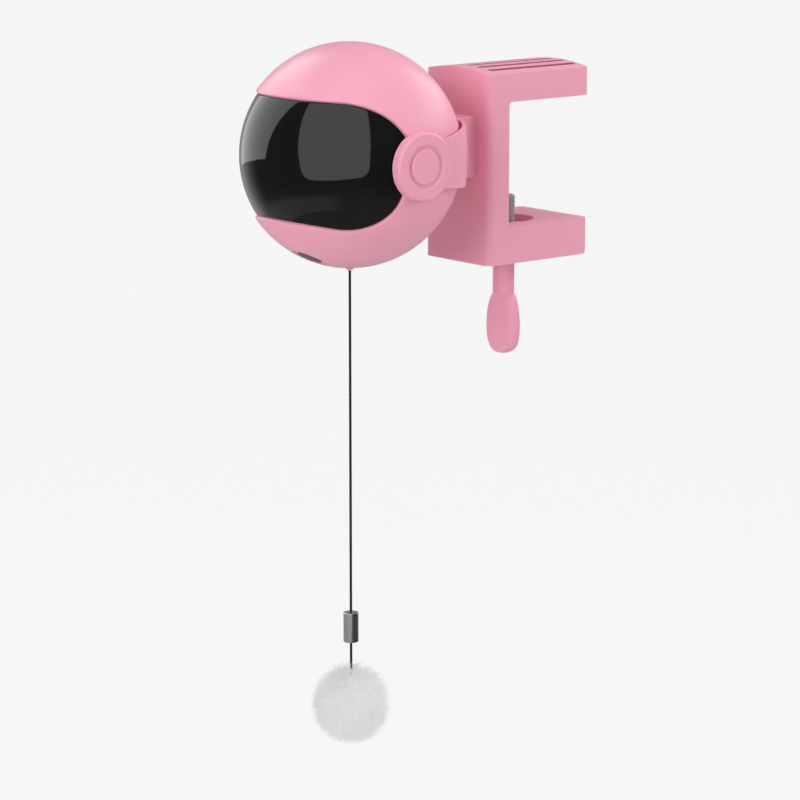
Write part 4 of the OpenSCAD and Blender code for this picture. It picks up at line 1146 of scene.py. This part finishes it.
# soft boxes that only reflections see: corners as ways from the ball, in the camera's axes
boxes = {"front_box": {"ways": [(-0.71, -0.42, 0.56), (0.34, -0.42, 0.84), (0.25, 0.78, 0.58),
                                (-0.52, 0.78, 0.36)],
                       "facing": (-0.255, 0.195, 0.947), "distance": 1.7, "corner": 0.4, "glow": 1.5},
         "side_box": {"ways": [(-0.476, 0.025, -0.879), (-0.995, -0.037, -0.097), (-0.45, 0.85, 0.30),
                               (-0.35, 0.75, -0.6)],
                      "facing": (-0.85, 0.35, -0.35), "distance": 1.5, "corner": 0.03, "glow": 1.7},
         "rim_box": {"ways": [(0.922, 0.372, 0.107), (0.872, 0.272, -0.406), (0.381, 0.359, -0.852),
                              (0.436, 0.727, -0.53)],
                     "facing": (0.735, 0.487, -0.475), "distance": 1.5, "corner": 0.1, "glow": 1.8},
         "crown_box": {"ways": [(-0.72, 0.42, -0.55), (-0.66, 0.74, -0.12), (-0.2, 0.9, -0.4),
                                (-0.28, 0.62, -0.73)],
                       "facing": (-0.5, 0.62, -0.6), "distance": 1.6, "corner": 0.1, "glow": 3.2}}
# low card beside the clasp, fading out at its upper edge
lowCard = {"radius": 0.3, "from": -6, "to": -150, "low": -0.36, "high": -0.18, "fade": 0.06,
           "endFade": 0.13, "glow": 0.42, "steps": 24}
# lamps that light the plastic without mirroring in it
lamps = {"key_lamp": {"way": (-0.55, 0.1, 0.83), "distance": 1.6, "size": 0.8, "watts": 13.5},
         "right_lamp": {"way": (0.85, 0.3, 0.2), "distance": 1.5, "size": 1.0, "watts": 10},
         "jaw_lamp": {"way": (0.55, 0.65, -0.52), "distance": 1.2, "size": 0.5, "watts": 4.5},
         "top_lamp": {"way": (0.05, 0.97, 0.24), "distance": 1.5, "size": 0.8, "watts": 6.5}}
down, white = Vector((0, 0, -1)), (1, 1, 1)


def glow(tree, strength):
    return Wire.node(tree, "ShaderNodeEmission", inputs={"Color": colour(white), "Strength": strength})


def blend(tree, share, first, second):
    return Wire.node(tree, "ShaderNodeMixShader", inputs={0: share, 1: first, 2: second})


def show(tree, shading):
    tree.links.new(shading.socket, tree.nodes["Material Output"].inputs["Surface"])


def seenRays(tree):
    ray = Wire.node(tree, "ShaderNodeLightPath", out="Is Camera Ray")
    outs = ray.socket.node.outputs
    seen = ray + Wire(tree, outs["Is Glossy Ray"]) + Wire(tree, outs["Is Transmission Ray"])
    return Wire.node(tree, "ShaderNodeClamp", inputs={"Value": seen})


def rising(tree, place, axis, low, high):
    # eases from 0 to 1 along an axis
    share = Wire.node(tree, "ShaderNodeVectorMath", {"operation": "DOT_PRODUCT"}, {0: place, 1: axis},
                      out="Value")
    return Wire.node(tree, "ShaderNodeMapRange", {"interpolation_type": "SMOOTHSTEP"},
                     {"Value": share, "From Min": low, "From Max": high})


def onlyReflected(obj, finish):
    obj.data.materials.append(finish)
    for ray in ("camera", "diffuse", "shadow", "transmission", "volume_scatter"):
        setattr(obj, "visible_" + ray, False)


def softBox(name, look, axes):
    facing = Vector(look["facing"]).normalized()
    corners = [Vector(way) * look["distance"] / Vector(way).dot(facing) for way in look["ways"]]
    panel = meshPiece(name, [headAt + axes @ c for c in corners], [], [tuple(range(len(corners)))])
    openAll(panel)
    bpy.ops.mesh.bevel(offset=look["corner"], segments=8, affect="VERTICES")
    done()
    finish, tree, shader = newFinish(name)
    show(tree, glow(tree, look["glow"]))
    onlyReflected(panel, finish)


def softLamp(name, look, axes):
    lamp = bpy.data.lights.new(name, "AREA")
    lamp.size, lamp.energy = look["size"], look["watts"]
    obj = inScene(name, lamp)
    way = (axes @ Vector(look["way"])).normalized()
    obj.location = headAt + way * look["distance"]
    obj.rotation_euler = (-way).to_track_quat("-Z", "Y").to_euler()
    obj.visible_glossy = False


def makeLowCard(axes):
    c, left = lowCard, -axes.col[0]
    middle = Vector((headAt.x, headAt.y, 0))
    front = math.atan2(axes.col[2].y, axes.col[2].x)
    points = []
    for i in range(c["steps"] + 1):
        turn = front + math.radians(c["from"] + (c["to"] - c["from"]) * i / c["steps"])
        x, y = c["radius"] * math.cos(turn), c["radius"] * math.sin(turn)
        points += [middle + Vector((x, y, z)) for z in (c["low"], c["high"])]
    faces = [(2 * i, 2 * i + 2, 2 * i + 3, 2 * i + 1) for i in range(c["steps"])]
    card = meshPiece("low_card", points, [], faces)
    finish, tree, shader = newFinish("low_card")
    place, start = objectCoords(tree), middle.dot(left)
    lit = (rising(tree, place, down, -c["high"], c["fade"] - c["high"])
           * rising(tree, place, left, start, start + c["endFade"]))
    show(tree, blend(tree, lit, Wire.node(tree, "ShaderNodeBsdfTransparent"), glow(tree, c["glow"])))
    onlyReflected(card, finish)


def makeScreen(axes):
    deselect()
    bpy.ops.mesh.primitive_uv_sphere_add(segments=48, ring_count=24, radius=screen["radius"], location=headAt)
    shell = added("dark_screen")
    finish, tree, shader = newFinish("dark_screen")
    way = Wire.node(tree, "ShaderNodeVectorMath", {"operation": "SUBTRACT"},
                    {0: objectCoords(tree), 1: headAt})
    ways = {"low": down, "back": -axes.col[2], "left": -axes.col[0]}
    low, back, left = [rising(tree, way, axis, *(share * screen["radius"] for share in screen[key]))
                       for key, axis in ways.items()]
    level = screen["glow"] + low * screen["lowGlow"] + back * (screen["backGlow"] + left * screen["leftGlow"])
    show(tree, glow(tree, level))
    onlyReflected(shell, finish)


def makeFloor():
    # mostly its own pale colour to the camera, and still in shadow under the part
    deselect()
    bpy.ops.mesh.primitive_plane_add(size=2 * studio["floorHalf"], location=(0, 0, studio["floorZ"]))
    floor = added("pale_floor")
    finish, tree, shader = newFinish("pale_floor")
    grain = noise(tree, objectCoords(tree), studio["floorScale"], detail=3)
    feed(tree, shader, {"Base Color": mixColour(tree, grain, studio["floorDeep"], studio["floorPale"]),
                        "Roughness": studio["floorRough"]})
    show(tree, blend(tree, seenRays(tree) * studio["floorShare"], Wire(tree, shader.outputs[0]),
                     glow(tree, studio["floorGlow"])))
    floor.data.materials.append(finish)
    floor.visible_glossy = False


def makeSurround():
    world = bpy.data.worlds.new("pale_surround")
    bpy.context.scene.world = world
    world.use_nodes = True
    tree = world.node_tree
    level = seenRays(tree) * (studio["pale"] - studio["ambient"]) + studio["ambient"]
    feed(tree, tree.nodes["Background"], {"Color": colour(white), "Strength": level})


cameraAxes = camera.matrix_world.to_3x3()
for boxName, boxLook in boxes.items():
    softBox(boxName, boxLook, cameraAxes)
for lampName, lampLook in lamps.items():
    softLamp(lampName, lampLook, cameraAxes)
makeLowCard(cameraAxes)
makeScreen(cameraAxes)
makeFloor()
makeSurround()
print("studio made")
